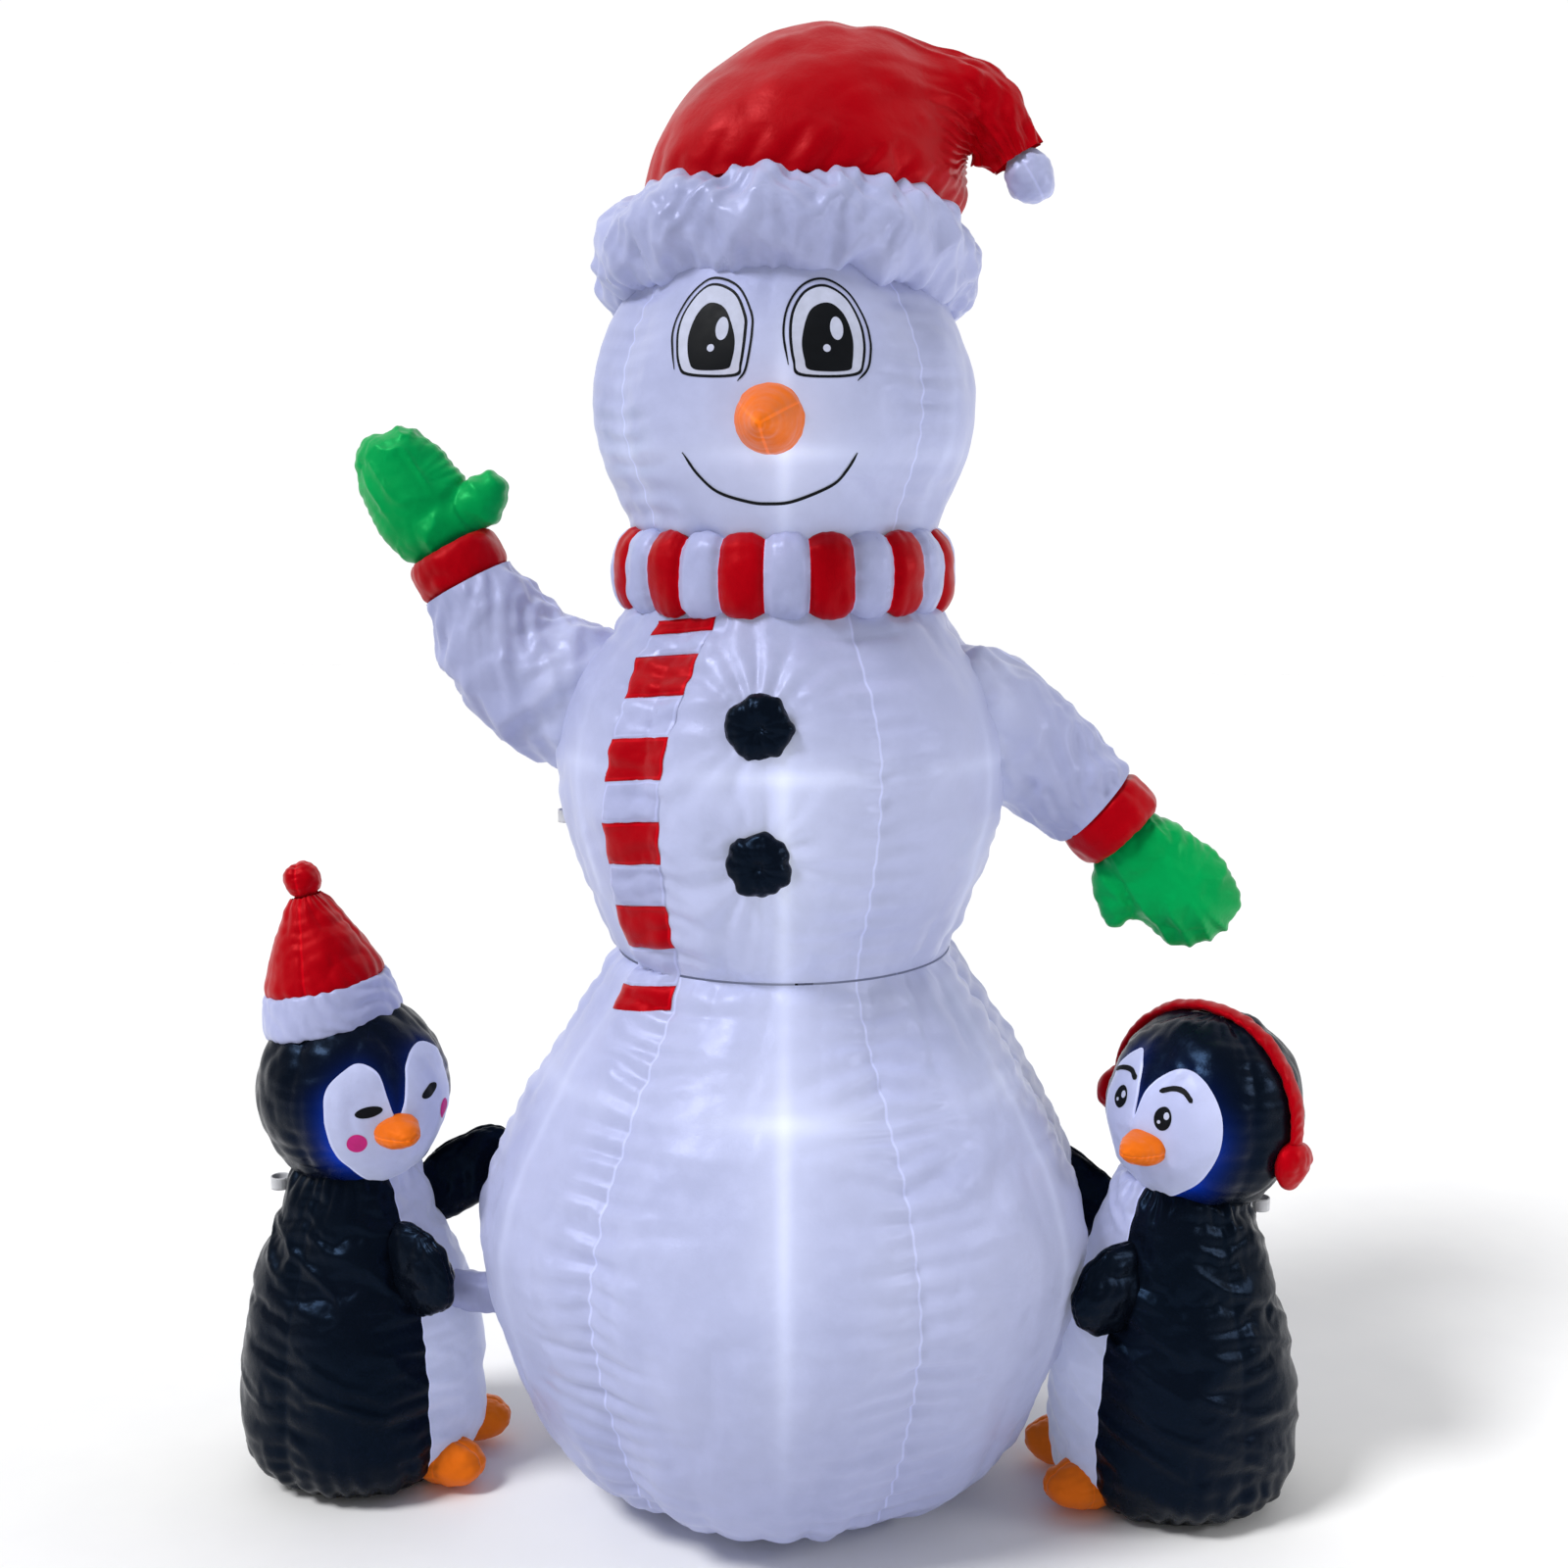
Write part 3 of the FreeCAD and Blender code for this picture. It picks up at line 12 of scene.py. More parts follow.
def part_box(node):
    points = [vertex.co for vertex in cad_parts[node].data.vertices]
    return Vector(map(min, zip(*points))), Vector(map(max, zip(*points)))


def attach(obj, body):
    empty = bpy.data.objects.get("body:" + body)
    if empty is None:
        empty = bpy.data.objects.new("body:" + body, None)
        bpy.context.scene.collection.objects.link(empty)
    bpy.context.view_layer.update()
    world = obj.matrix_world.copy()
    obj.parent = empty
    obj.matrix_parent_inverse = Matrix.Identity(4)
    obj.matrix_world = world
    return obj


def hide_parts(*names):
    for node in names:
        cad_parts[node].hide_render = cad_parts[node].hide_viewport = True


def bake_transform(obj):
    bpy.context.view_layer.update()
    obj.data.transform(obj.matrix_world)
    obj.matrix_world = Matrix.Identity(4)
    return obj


# Inflatable yard snowman with two penguins, dressed over the CAD frame.
# Metres, +Z up, the snowman faces -Y. Azimuths are 0 at the front and grow towards +X.

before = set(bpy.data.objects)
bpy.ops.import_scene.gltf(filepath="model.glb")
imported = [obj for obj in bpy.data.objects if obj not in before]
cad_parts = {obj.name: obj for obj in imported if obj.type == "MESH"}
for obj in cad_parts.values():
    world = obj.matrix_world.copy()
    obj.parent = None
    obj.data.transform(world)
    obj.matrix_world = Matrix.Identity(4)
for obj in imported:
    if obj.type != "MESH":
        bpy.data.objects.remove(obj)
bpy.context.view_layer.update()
scene = bpy.context.scene

Y_AXIS = np.array([0.0, 1.0, 0.0])
Z_AXIS = np.array([0.0, 0.0, 1.0])


def new_mesh(name, vertices, faces):
    """A linked object made of the given vertices and faces."""
    data = bpy.data.meshes.new(name)
    data.from_pydata(vertices, [], faces)
    obj = bpy.data.objects.new(name, data)
    scene.collection.objects.link(obj)
    return obj


# ---------------------------------------------------------------- camera, floor and lights

def make_camera():
    """Eye level, a little to the snowman's left, looking slightly down."""
    bearing, drop, reach, height = 6.0, 9.1, 3.165, 1.716
    data = bpy.data.cameras.new("camera")
    data.lens, data.sensor_width = 44.08, 36.0
    data.dof.use_dof = False
    camera = bpy.data.objects.new("camera", data)
    scene.collection.objects.link(camera)
    a = math.radians(bearing)
    camera.location = (reach * math.sin(a), -reach * math.cos(a), height)
    camera.rotation_euler = (math.radians(90 - drop), 0, a)
    scene.camera = camera


make_camera()


def area_light(name, place, target, size, power):
    data = bpy.data.lights.new(name, "AREA")
    data.shape, data.size, data.energy = "DISK", size, power
    light = bpy.data.objects.new(name, data)
    scene.collection.objects.link(light)
    light.location = place
    light.rotation_euler = (Vector(target) - Vector(place)).to_track_quat("-Z", "Y").to_euler()


def world_light():
    """A white wall behind, a darker room in front of the object."""
    world = bpy.data.worlds.new("studio")
    world.use_nodes = True
    tree = world.node_tree
    background = tree.nodes["Background"]
    background.inputs["Color"].default_value = (1.0, 1.0, 1.0, 1)
    place = tree.nodes.new("ShaderNodeTexCoord")
    split = tree.nodes.new("ShaderNodeSeparateXYZ")
    fall = tree.nodes.new("ShaderNodeMapRange")
    fall.interpolation_type = "SMOOTHSTEP"
    for label, value in (("From Min", -0.15), ("From Max", 0.55), ("To Min", 0.34), ("To Max", 1.02)):
        fall.inputs[label].default_value = value
    tree.links.new(place.outputs["Generated"], split.inputs[0])
    tree.links.new(split.outputs["Y"], fall.inputs["Value"])
    tree.links.new(fall.outputs[0], background.inputs["Strength"])
    scene.world = world
    scene.view_settings.view_transform = "Standard"


def key_light():
    """A broad key from the front left."""
    data = bpy.data.lights.new("key", "SUN")
    data.energy, data.angle = 2.4, math.radians(16)
    key = bpy.data.objects.new("key", data)
    scene.collection.objects.link(key)
    key.rotation_euler = Vector((1.9, 1.4, -3.0)).to_track_quat("-Z", "Y").to_euler()


def floor():
    half, drop = 14.0, 0.002
    corners = [(-half, -half, 0), (half, -half, 0), (half, half, 0), (-half, half, 0)]
    obj = new_mesh("floor", corners, [(0, 1, 2, 3)])
    obj.location.z = -drop
    obj.data.materials.append(floor_paint())


def studio():
    """A pale floor and soft white light."""
    world_light()
    key_light()
    area_light("side", (3.8, -0.9, 2.0), (0, 0, 1.1), 1.0, 30)
    floor()


# ---------------------------------------------------------------- materials

WEAVE = 210.0
FINE_GRAIN = 0.0004


class Shader:
    """A node material under construction."""

    def __init__(self, name):
        self.material = bpy.data.materials.new(name)
        self.material.use_nodes = True
        self.nodes = self.material.node_tree.nodes
        self.links = self.material.node_tree.links
        self.base = self.nodes["Principled BSDF"]
        self.place = self.add("ShaderNodeTexCoord").outputs["Object"]

    def put(self, socket, value):
        if isinstance(value, bpy.types.NodeSocket):
            self.links.new(value, socket)
        elif isinstance(value, tuple) and len(value) == 3 and socket.type == "RGBA":
            socket.default_value = (*value, 1.0)
        else:
            socket.default_value = value

    def add(self, kind, inputs=None, **settings):
        node = self.nodes.new(kind)
        for key, value in settings.items():
            setattr(node, key, value)
        for key, value in (inputs or {}).items():
            self.put(node.inputs[key], value)
        return node

    def set(self, **inputs):
        for key, value in inputs.items():
            self.put(self.base.inputs[key.replace("_", " ")], value)

    def noise(self, scale, detail=3.0, rough=0.55, stretch=None):
        place = self.place
        if stretch:
            place = self.add("ShaderNodeMapping", {"Vector": place, "Scale": stretch}).outputs[0]
        return self.add("ShaderNodeTexNoise", {"Vector": place, "Scale": scale, "Detail": detail,
                                               "Roughness": rough}).outputs["Fac"]

    def wave(self, scale, direction="X", distortion=0.4):
        return self.add("ShaderNodeTexWave", {"Vector": self.place, "Scale": scale, "Distortion": distortion},
                        bands_direction=direction).outputs["Fac"]

    def math(self, operation, a, b=0.0, c=0.0):
        return self.add("ShaderNodeMath", {0: a, 1: b, 2: c}, operation=operation).outputs[0]

    def mix(self, share, a, b):
        node = self.add("ShaderNodeMix", {"Factor": share}, data_type="RGBA")
        self.put(node.inputs[6], a)
        self.put(node.inputs[7], b)
        return node.outputs[2]

    def ramp(self, value, low, high, to_low=0.0, to_high=1.0):
        return self.add("ShaderNodeMapRange", {"Value": value, "From Min": low, "From Max": high,
                                               "To Min": to_low, "To Max": to_high}).outputs[0]

    def attribute(self, name):
        return self.add("ShaderNodeAttribute", attribute_name=name).outputs["Fac"]

    def bump(self, height, strength, distance, under=None):
        inputs = {"Height": height, "Strength": strength, "Distance": distance}
        if under is not None:
            inputs["Normal"] = under
        return self.add("ShaderNodeBump", inputs).outputs[0]


def tint(colour, share):
    return tuple(min(1.0, c * share) for c in colour)


def fabric(name, colour, fold, rough=0.5, sheen=0.25, own_light=0.0, halo=0.0, halo_colour=(0.8, 0.86, 1.0),
           seam_light=1.35, shine=0.45):
    """Thin coated nylon: fine weave, soft crumples, stitched seams painted brighter as light shining through
    them, and light from inside.
    """
    s = Shader(name)
    cloudy = s.noise(3.2, 2.0)
    crumple = s.noise(26.0, 4.0, 0.6)
    warp = s.wave(WEAVE, "X")
    weft = s.wave(WEAVE, "Z")
    weave = s.math("MULTIPLY", warp, weft)
    seam = s.attribute("seam")
    # Painted light: the seams are painted brighter than the cloth around them, as the lamps inside shining
    # through the stitch holes.
    line = s.ramp(seam, 0.0010, 0.0030, seam_light, 1.0)
    shade = s.mix(s.ramp(cloudy, 0.35, 0.7), colour, fold)
    # Painted shade: the crumple noise that raises the bump also lightens the colour on its tops, so the
    # crumple hollows are painted darker.
    shade = s.mix(s.ramp(crumple, 0.42, 0.72, 0.0, 0.35), shade, tint(colour, 1.12))
    seams_lit = s.add("ShaderNodeMix", {"Factor": 1.0}, data_type="RGBA", blend_type="MULTIPLY")
    s.put(seams_lit.inputs[6], shade)
    s.links.new(line, seams_lit.inputs[7])
    s.set(Base_Color=seams_lit.outputs[2])
    s.set(Roughness=s.ramp(crumple, 0.3, 0.75, rough - 0.08, rough + 0.1))
    s.set(Sheen_Weight=sheen, Sheen_Roughness=0.4, Specular_IOR_Level=shine)
    s.set(Specular_Tint=tuple(c / max(colour) for c in colour))
    normal = s.bump(weave, 0.12, FINE_GRAIN)
    s.set(Normal=s.bump(crumple, 0.35, 0.004, normal))
    if own_light or halo:
        glow = s.attribute("glow")
        strength = s.math("MULTIPLY_ADD", glow, halo, own_light)
        s.set(Emission_Color=halo_colour, Emission_Strength=strength)
    return s.material


def floor_paint():
    s = Shader("floor_paint")
    grain = s.noise(9.0, 5.0)
    s.set(Base_Color=s.mix(grain, (0.84, 0.84, 0.85), (0.88, 0.88, 0.88)), Roughness=0.75)
    s.set(Normal=s.bump(grain, 0.02, 0.001))
    return s.material


def ink(name, colour, rough=0.55):
    """Screen print on fabric: flat colour with the weave showing through."""
    s = Shader(name)
    weave = s.math("MULTIPLY", s.wave(WEAVE, "X"), s.wave(WEAVE, "Z"))
    patchy = s.noise(60.0, 3.0)
    s.set(Base_Color=s.mix(s.ramp(patchy, 0.4, 0.8, 0.0, 0.4), colour, tint(colour, 1.35)))
    s.set(Roughness=s.ramp(patchy, 0.3, 0.8, rough - 0.05, rough + 0.1), Specular_IOR_Level=0.12)
    s.set(Normal=s.bump(weave, 0.15, 0.0004))
    return s.material


def moulded(name, colour, rough=0.4, metallic=0.0, grain=0.2):
    """Moulded plastic or pressed metal with a fine spark-eroded grain."""
    s = Shader(name)
    fine = s.noise(420.0, 3.0)
    wide = s.noise(14.0, 3.0)
    s.set(Base_Color=s.mix(s.ramp(wide, 0.35, 0.7), colour, tint(colour, 0.86)), Metallic=metallic)
    s.set(Roughness=s.ramp(wide, 0.3, 0.7, rough - 0.06, rough + 0.08))
    s.set(Normal=s.bump(fine, grain, 0.0004))
    return s.material


def webbing(name, colour):
    """Woven tape: a twill rib and a soft, dull face."""
    s = Shader(name)
    rib = s.math("MULTIPLY", s.wave(150.0, "DIAGONAL", 0.2), s.wave(260.0, "Z", 0.2))
    dusty = s.noise(30.0, 3.0)
    s.set(Base_Color=s.mix(s.ramp(dusty, 0.35, 0.7), colour, tint(colour, 0.8)))
    s.set(Roughness=0.8, Sheen_Weight=0.3)
    s.set(Normal=s.bump(rib, 0.5, 0.0006))
    return s.material


# ---------------------------------------------------------------- noise and fold shapes

def value_noise(points, seed):
    """Smooth noise from -1 to 1 at an array of 3D points."""
    cell = np.floor(points)
    t = points - cell
    t = t * t * (3 - 2 * t)
    cell = cell.astype(np.int64)
    total = 0.0
    for corner in np.ndindex(2, 2, 2):
        c = cell + np.array(corner)
        h = (c[..., 0] * 73856093) ^ (c[..., 1] * 19349663) ^ (c[..., 2] * 83492791) ^ (seed * 40503 + 977)
        h = ((h ^ (h >> 13)) * 1274126177) & 0xFFFFFFFF
        h = (h ^ (h >> 15)) & 0xFFFF
        share = np.prod(np.where(np.array(corner) == 1, t, 1 - t), axis=-1)
        total = total + share * (h / 32767.5 - 1)
    return total


def lumps(points, size, seed, stretch=(1, 1, 1)):
    return value_noise(np.asarray(points) / (size * np.array(stretch)), seed)


def line_noise(x, size, seed):
    x = np.asarray(x, float)
    return value_noise(np.stack([x / size, np.full_like(x, 0.37), np.full_like(x, 0.61)], -1), seed)


def creases(points, size, seed, stretch=(1, 1, 1)):
    """Sharp-valleyed crumples from -1 to 1."""
    wide = np.abs(lumps(points, size, seed, stretch))
    fine = np.abs(lumps(points, size * 0.47, seed + 9, stretch))
    return 1.6 * (wide + 0.5 * fine) - 1


def gathers(along, away, pitch, length, seed):
    """Puckers square to a sewn line: rounded ridges with sharp valleys that fade away from it."""
    slant = line_noise(along, pitch * 3, seed + 1) * 0.5
    place = along + away * slant + line_noise(along, pitch * 1.9, seed + 2) * pitch * 0.45
    reach = length * (1 + 0.75 * line_noise(along, pitch * 1.3, seed + 3))
    size = 0.55 + 0.45 * line_noise(along, pitch * 2.3, seed + 4)
    ridge = np.abs(np.sin(math.pi * place / pitch)) - 0.62
    return ridge * size * np.exp(-np.abs(away) / np.maximum(reach, 1e-4))


def streaks(u, v, pitch, length, seed):
    """Long thin ridges that run along v and come and go."""
    place = np.stack(np.broadcast_arrays(u / pitch, v / length, 0.5), -1)
    return (1 - np.abs(value_noise(place, seed))) ** 3 - 0.4


def signed(azimuth):
    """Azimuth from -180 to 180, so that the join is at the back."""
    return (azimuth + 180) % 360 - 180


def fading(away, width):
    """One on a line and less with distance from it."""
    return np.exp(-np.abs(away) / width)


def band(x, width):
    """A soft bell of about this half width."""
    return np.exp(-(x / width) ** 2)


def degrees_round(count):
    return np.linspace(0, 360, count, endpoint=False)


def turns_round(count):
    return np.linspace(0, 2 * math.pi, count, endpoint=False)


# ---------------------------------------------------------------- sampling the CAD nodes

def node_tree(*names):
    """A ray tree of some CAD nodes in the row frame."""
    vertices, faces = [], []
    for name in names:
        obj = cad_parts[name]
        base = len(vertices)
        vertices += [obj.matrix_world @ v.co for v in obj.data.vertices]
        faces += [[base + i for i in p.vertices] for p in obj.data.polygons]
    return BVHTree.FromPolygons(vertices, faces)


def node_points(name):
    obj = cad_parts[name]
    return np.array([obj.matrix_world @ v.co for v in obj.data.vertices])


def ray_radius(tree, centre, direction, reach=0.8):
    """Distance from a centre to the outermost surface along a direction, or nan."""
    start = Vector(centre + direction * reach)
    hit = tree.ray_cast(start, Vector(-direction), reach)
    return reach - hit[3] if hit[0] is not None else math.nan


def filled(values):
    """An array with its nan places bridged from their neighbours."""
    values = np.array(values, float)
    good = np.isfinite(values)
    places = np.arange(len(values))
    return np.interp(places, places[good], values[good])


def eased(values, passes, wrap=False):
    for _ in range(passes):
        before = np.roll(values, 1, 0) if wrap else np.concatenate([values[:1], values[:-1]])
        after = np.roll(values, -1, 0) if wrap else np.concatenate([values[1:], values[-1:]])
        values = (before + 2 * values + after) / 4
    return values


def profile(tree, low, high, step, frame_matrix=None, azimuth=0.0, passes=2):
    """(radius, height) stations up a turned shape, evenly spaced along its outline."""
    frame_matrix = np.eye(4) if frame_matrix is None else frame_matrix
    heights = np.arange(low, high, 0.002)
    out = frame_matrix[:3, :3] @ outward(azimuth)
    radii = []
    for z in heights:
        centre = frame_matrix[:3, 3] + frame_matrix[:3, 2] * z
        radii.append(ray_radius(tree, centre, out))
    radii = eased(filled(radii), passes)
    return even_stations(np.stack([radii, heights], 1), step)


def even_stations(stations, step):
    stations = np.asarray(stations, float)
    lengths = np.concatenate([[0], np.cumsum(np.linalg.norm(np.diff(stations, axis=0), axis=1))])
    count = max(4, int(round(lengths[-1] / step)) + 1)
    even = np.linspace(0, lengths[-1], count)
    return np.stack([np.interp(even, lengths, stations[:, k]) for k in range(stations.shape[1])], 1)


def outward(azimuth):
    a = np.radians(azimuth)
    return np.stack([np.sin(a), -np.cos(a), np.zeros_like(a)], -1)


def azimuths(seams, step):
    """Azimuths right round that hit every seam."""
    seams = sorted(seams)
    rounds = []
    for a, b in zip(seams, seams[1:] + [seams[0] + 360]):
        rounds.append(np.linspace(a, b, max(2, int(round((b - a) / step))), endpoint=False))
    return np.concatenate(rounds)


# ---------------------------------------------------------------- skins

class Grid:
    """Rings of points with the fields that fold shapes need."""

    def __init__(self, points, wrap=True):
        self.points = np.array(points, float)
        self.wrap = wrap
        self.normals = self.find_normals()
        self.along = self.lengths(0)
        self.round = self.lengths(1)
        self.seam = np.full(self.points.shape[:2], 1.0)

    def lengths(self, axis):
        steps = np.linalg.norm(np.diff(self.points, axis=axis), axis=-1)
        pad = np.zeros((1, steps.shape[1])) if axis == 0 else np.zeros((steps.shape[0], 1))
        return np.concatenate([pad, np.cumsum(steps, axis=axis)], axis=axis)

    def find_normals(self):
        up = np.gradient(self.points, axis=0)
        if self.wrap:
            across = np.roll(self.points, -1, 1) - np.roll(self.points, 1, 1)
        else:
            across = np.gradient(self.points, axis=1)
        normal = np.cross(across, up)
        size = np.linalg.norm(normal, axis=-1, keepdims=True)
        return normal / np.maximum(size, 1e-12)

    def push(self, height):
        self.points = self.points + self.normals * np.asarray(height)[..., None]
        return self


def turned_grid(stations, around, frame_matrix=None):
    """A grid turned about the frame's Z: rings from the bottom up."""
    frame_matrix = np.eye(4) if frame_matrix is None else frame_matrix
    out = outward(around)
    points = stations[:, None, :1] * out[None] + stations[:, None, 1:2] * Z_AXIS
    points = points @ frame_matrix[:3, :3].T + frame_matrix[:3, 3]
    grid = Grid(points)
    grid.azimuth = np.broadcast_to(around, grid.points.shape[:2])
    grid.height = np.broadcast_to(stations[:, 1:2], grid.points.shape[:2])
    grid.radius = np.broadcast_to(stations[:, :1], grid.points.shape[:2])
    return grid


def from_seam(grid, seams):
    """Signed distance from the nearest upright seam, and which seam it is."""
    turns = signed(grid.azimuth[..., None] - np.array(seams))
    nearest = np.abs(turns).argmin(-1)
    turn = np.take_along_axis(turns, nearest[..., None], -1)[..., 0]
    return np.radians(turn) * grid.radius, nearest


def build(name, grid):
    """A mesh from a grid."""
    rows, columns = grid.points.shape[:2]
    faces = []
    for i in range(rows - 1):
        for j in range(columns if grid.wrap else columns - 1):
            k = (j + 1) % columns
            faces.append((i * columns + j, i * columns + k, (i + 1) * columns + k, (i + 1) * columns + j))
    obj = new_mesh(name, list(map(tuple, grid.points.reshape(-1, 3))), faces)
    add_attribute(obj, "seam", grid.seam.ravel())
    obj.data.shade_smooth()
    return obj


def add_attribute(obj, name, values):
    layer = obj.data.attributes.get(name) or obj.data.attributes.new(name, "FLOAT", "POINT")
    layer.data.foreach_set("value", np.asarray(values, np.float32))


def coordinates(obj):
    co = np.empty(len(obj.data.vertices) * 3)
    obj.data.vertices.foreach_get("co", co)
    return co.reshape(-1, 3)


def set_coordinates(obj, co):
    obj.data.vertices.foreach_set("co", np.asarray(co, float).ravel())
    obj.data.update()


def vertex_normals(obj):
    normals = np.empty(len(obj.data.vertices) * 3)
    obj.data.vertex_normals.foreach_get("vector", normals)
    return normals.reshape(-1, 3)


def finer(obj, levels=1):
    """Subdivide the mesh itself."""
    modifier = obj.modifiers.new("finer", "SUBSURF")
    modifier.levels = modifier.render_levels = levels
    bake_modifiers(obj)


def bake_modifiers(obj):
    graph = bpy.context.evaluated_depsgraph_get()
    mesh = bpy.data.meshes.new_from_object(obj.evaluated_get(graph), preserve_all_data_layers=True,
                                           depsgraph=graph)
    obj.modifiers.clear()
    obj.data = mesh


def settle(obj, held, pressure=4.0, slack=-0.05, cap=0.016, frames=20):
    """Let the fabric find its own folds under air pressure, held along its seams and ends."""
    rest = coordinates(obj)
    group = obj.vertex_groups.new(name="held")
    for level in np.unique(np.round(held, 1)):
        if level > 0:
            group.add([int(i) for i in np.nonzero(np.round(held, 1) == level)[0]], float(level), "REPLACE")
    modifier = obj.modifiers.new("air", "CLOTH")
    cloth = modifier.settings
    cloth.quality, cloth.mass, cloth.air_damping = 4, 0.25, 2.0
    cloth.tension_stiffness = cloth.compression_stiffness = 18
    cloth.shear_stiffness, cloth.bending_stiffness = 6, 0.15
    cloth.use_pressure, cloth.uniform_pressure_force = True, pressure
    cloth.shrink_min = slack
    cloth.vertex_group_mass = "held"
    cloth.effector_weights.gravity = 0
    modifier.point_cache.frame_start, modifier.point_cache.frame_end = 1, frames
    for number in range(1, frames + 1):
        scene.frame_set(number)
    graph = bpy.context.evaluated_depsgraph_get()
    moved = np.empty(len(rest) * 3)
    obj.evaluated_get(graph).data.vertices.foreach_get("co", moved)
    obj.modifiers.clear()
    obj.vertex_groups.clear()
    scene.frame_set(1)
    shift = moved.reshape(-1, 3) - rest
    size = np.linalg.norm(shift, axis=1, keepdims=True)
    shift = shift * np.minimum(1, cap / np.maximum(size, 1e-9))
    shift[~np.isfinite(shift).all(1)] = 0
    set_coordinates(obj, rest + shift)


def tree_of(obj):
    co = coordinates(obj)
    return BVHTree.FromPolygons([Vector(c) for c in co], [tuple(p.vertices) for p in obj.data.polygons])


# ---------------------------------------------------------------- glow from the lamps inside

# For each lamp: height of the level streak, middle of the upright streak, and its reach.
LAMP_STREAKS = [(0.755, 0.62, 0.30), (1.275, 1.16, 0.19), (1.75, 1.77, 0.16)]
GLOW_BEARING = 6


def snowman_glow(azimuth, height, radius):
    """Crossed streaks on each gore in front of a lamp, over a soft pool of light."""
    total = np.zeros_like(height)
    middle = (azimuth - GLOW_BEARING + 30) % 60 - 30
    front = signed(azimuth - GLOW_BEARING)
    facing = 0.3 + 0.7 * band(front, 45)
    across = np.radians(middle) * radius
    for level_height, middle_height, rise in LAMP_STREAKS:
        up, over = height - level_height, height - middle_height
        pool = band(over, rise * 1.3) * (0.35 + 0.65 * band(front, 42))
        upright = band(over, rise) * (band(across, 0.012) + 0.6 * band(across, 0.05))
        level = band(up, 0.013) * band(across, 0.12) + 0.5 * band(up, 0.05) * band(across, 0.2)
        total = total + 0.58 * pool + facing * (0.55 * upright + 0.55 * level)
    return total


def glow_of(obj):
    co = coordinates(obj)
    azimuth = np.degrees(np.arctan2(co[:, 0], -co[:, 1]))
    add_attribute(obj, "glow", snowman_glow(azimuth, co[:, 2], np.hypot(co[:, 0], co[:, 1])))


# ---------------------------------------------------------------- colours

WHITE = (0.36, 0.385, 0.60)
WHITE_FOLD = (0.29, 0.315, 0.53)
RED = (0.37, 0.0008, 0.005)
RED_FOLD = (0.26, 0.0006, 0.004)
GREEN = (0.0015, 0.36, 0.085)
GREEN_FOLD = (0.001, 0.22, 0.048)
BLACK = (0.0015, 0.0030, 0.0060)
BLACK_FOLD = (0.0030, 0.0045, 0.0095)
ORANGE = (0.80, 0.16, 0.008)
ORANGE_FOLD = (0.66, 0.12, 0.008)

PAINT = {
    "white": fabric("white_nylon", WHITE, WHITE_FOLD, 0.38, 0.02, 0.03, 0.32),
    "head": fabric("white_nylon_head", WHITE, WHITE_FOLD, 0.38, 0.02, 0.04, 0.30),
    "trim": fabric("white_nylon_trim", tint(WHITE, 1.15), WHITE_FOLD, 0.34, 0.02, 0.05, 0.0, seam_light=1.2),
    "face": fabric("white_nylon_face", tint(WHITE, 1.15), WHITE_FOLD, 0.40, 0.05, 0.14, 0.3),
    "red": fabric("red_nylon", RED, RED_FOLD, 0.40, 0.02, 0.05, 0.0, (0.9, 0.0, 0.01), 1.5),
    "green": fabric("green_nylon", GREEN, GREEN_FOLD, 0.40, 0.02),
    "black": fabric("black_nylon", BLACK, BLACK_FOLD, 0.28, 0.0, 0.0, 0.7, (0.0, 0.06, 0.85), shine=0.12),
    "orange": fabric("orange_nylon", ORANGE, ORANGE_FOLD, 0.42, 0.0, 0.05, 0.0, (1.0, 0.3, 0.05)),
    "ink_black": ink("black_print", (0.003, 0.004, 0.006)),
    "ink_white": ink("white_print", (0.50, 0.53, 0.68)),
    "ink_pink": ink("pink_print", (0.62, 0.025, 0.22)),
    "tape": webbing("tape_weave", (0.62, 0.63, 0.66)),
    "strap": webbing("strap_weave", (0.70, 0.71, 0.75)),
    "cord": webbing("cord_weave", (0.55, 0.56, 0.58)),
    "case": moulded("case_plastic", (0.022, 0.023, 0.026), 0.42),
    "fan": moulded("fan_plastic", (0.035, 0.036, 0.04), 0.35),
    "steel": moulded("motor_steel", (0.45, 0.46, 0.48), 0.32, 1.0, 0.1),
    "zip": moulded("zip_plastic", (0.66, 0.67, 0.70), 0.35),
    "lamp": moulded("lamp_plastic", (0.60, 0.60, 0.58), 0.4),
    "lens": moulded("lamp_lens", (0.80, 0.86, 0.95), 0.15, 0.0, 0.05),
    "wire": moulded("harness_wire", (0.03, 0.03, 0.03), 0.5),
    "ballast": webbing("ballast_cloth", (0.30, 0.31, 0.33)),
}


def place_piece(obj, paint, replaces=(), body="snowman"):
    """Paint a finished piece, hang it on its body and hide the CAD nodes it replaces."""
    obj.data.materials.append(PAINT[paint])
    if body is not None:
        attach(obj, body)
    if replaces:
        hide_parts(*replaces)
    return obj


def hold_rows(grid, low, high):
    """Which points the seams at both ends hold still."""
    held = np.zeros(grid.points.shape[:2])
    held[:low] = held[-high:] = 1
    return held.ravel()


# ---------------------------------------------------------------- snowman body

GORE_SEAMS = [-150, -90, -30, 30, 90, 150]
FACE_SEAMS = [-52, 52, 180]
LOWER_NODES = ("base_panel", "lower_front_gore", "lower_side_gores", "lower_back_gore")
TORSO_NODES = ("torso_front_gore", "torso_side_gores")
HEAD_NODES = ("head_front_panel", "head_back_panels")
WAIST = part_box("lower_front_gore")[1][2]
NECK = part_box("torso_front_gore")[1][2]
HEAD_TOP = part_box("head_front_panel")[1][2]
LAY = 0.014
SEAM_HOLD = 0.004
FOREHEAD, CHIN = 1.93, 1.66
ZIP_FOOT = 0.58

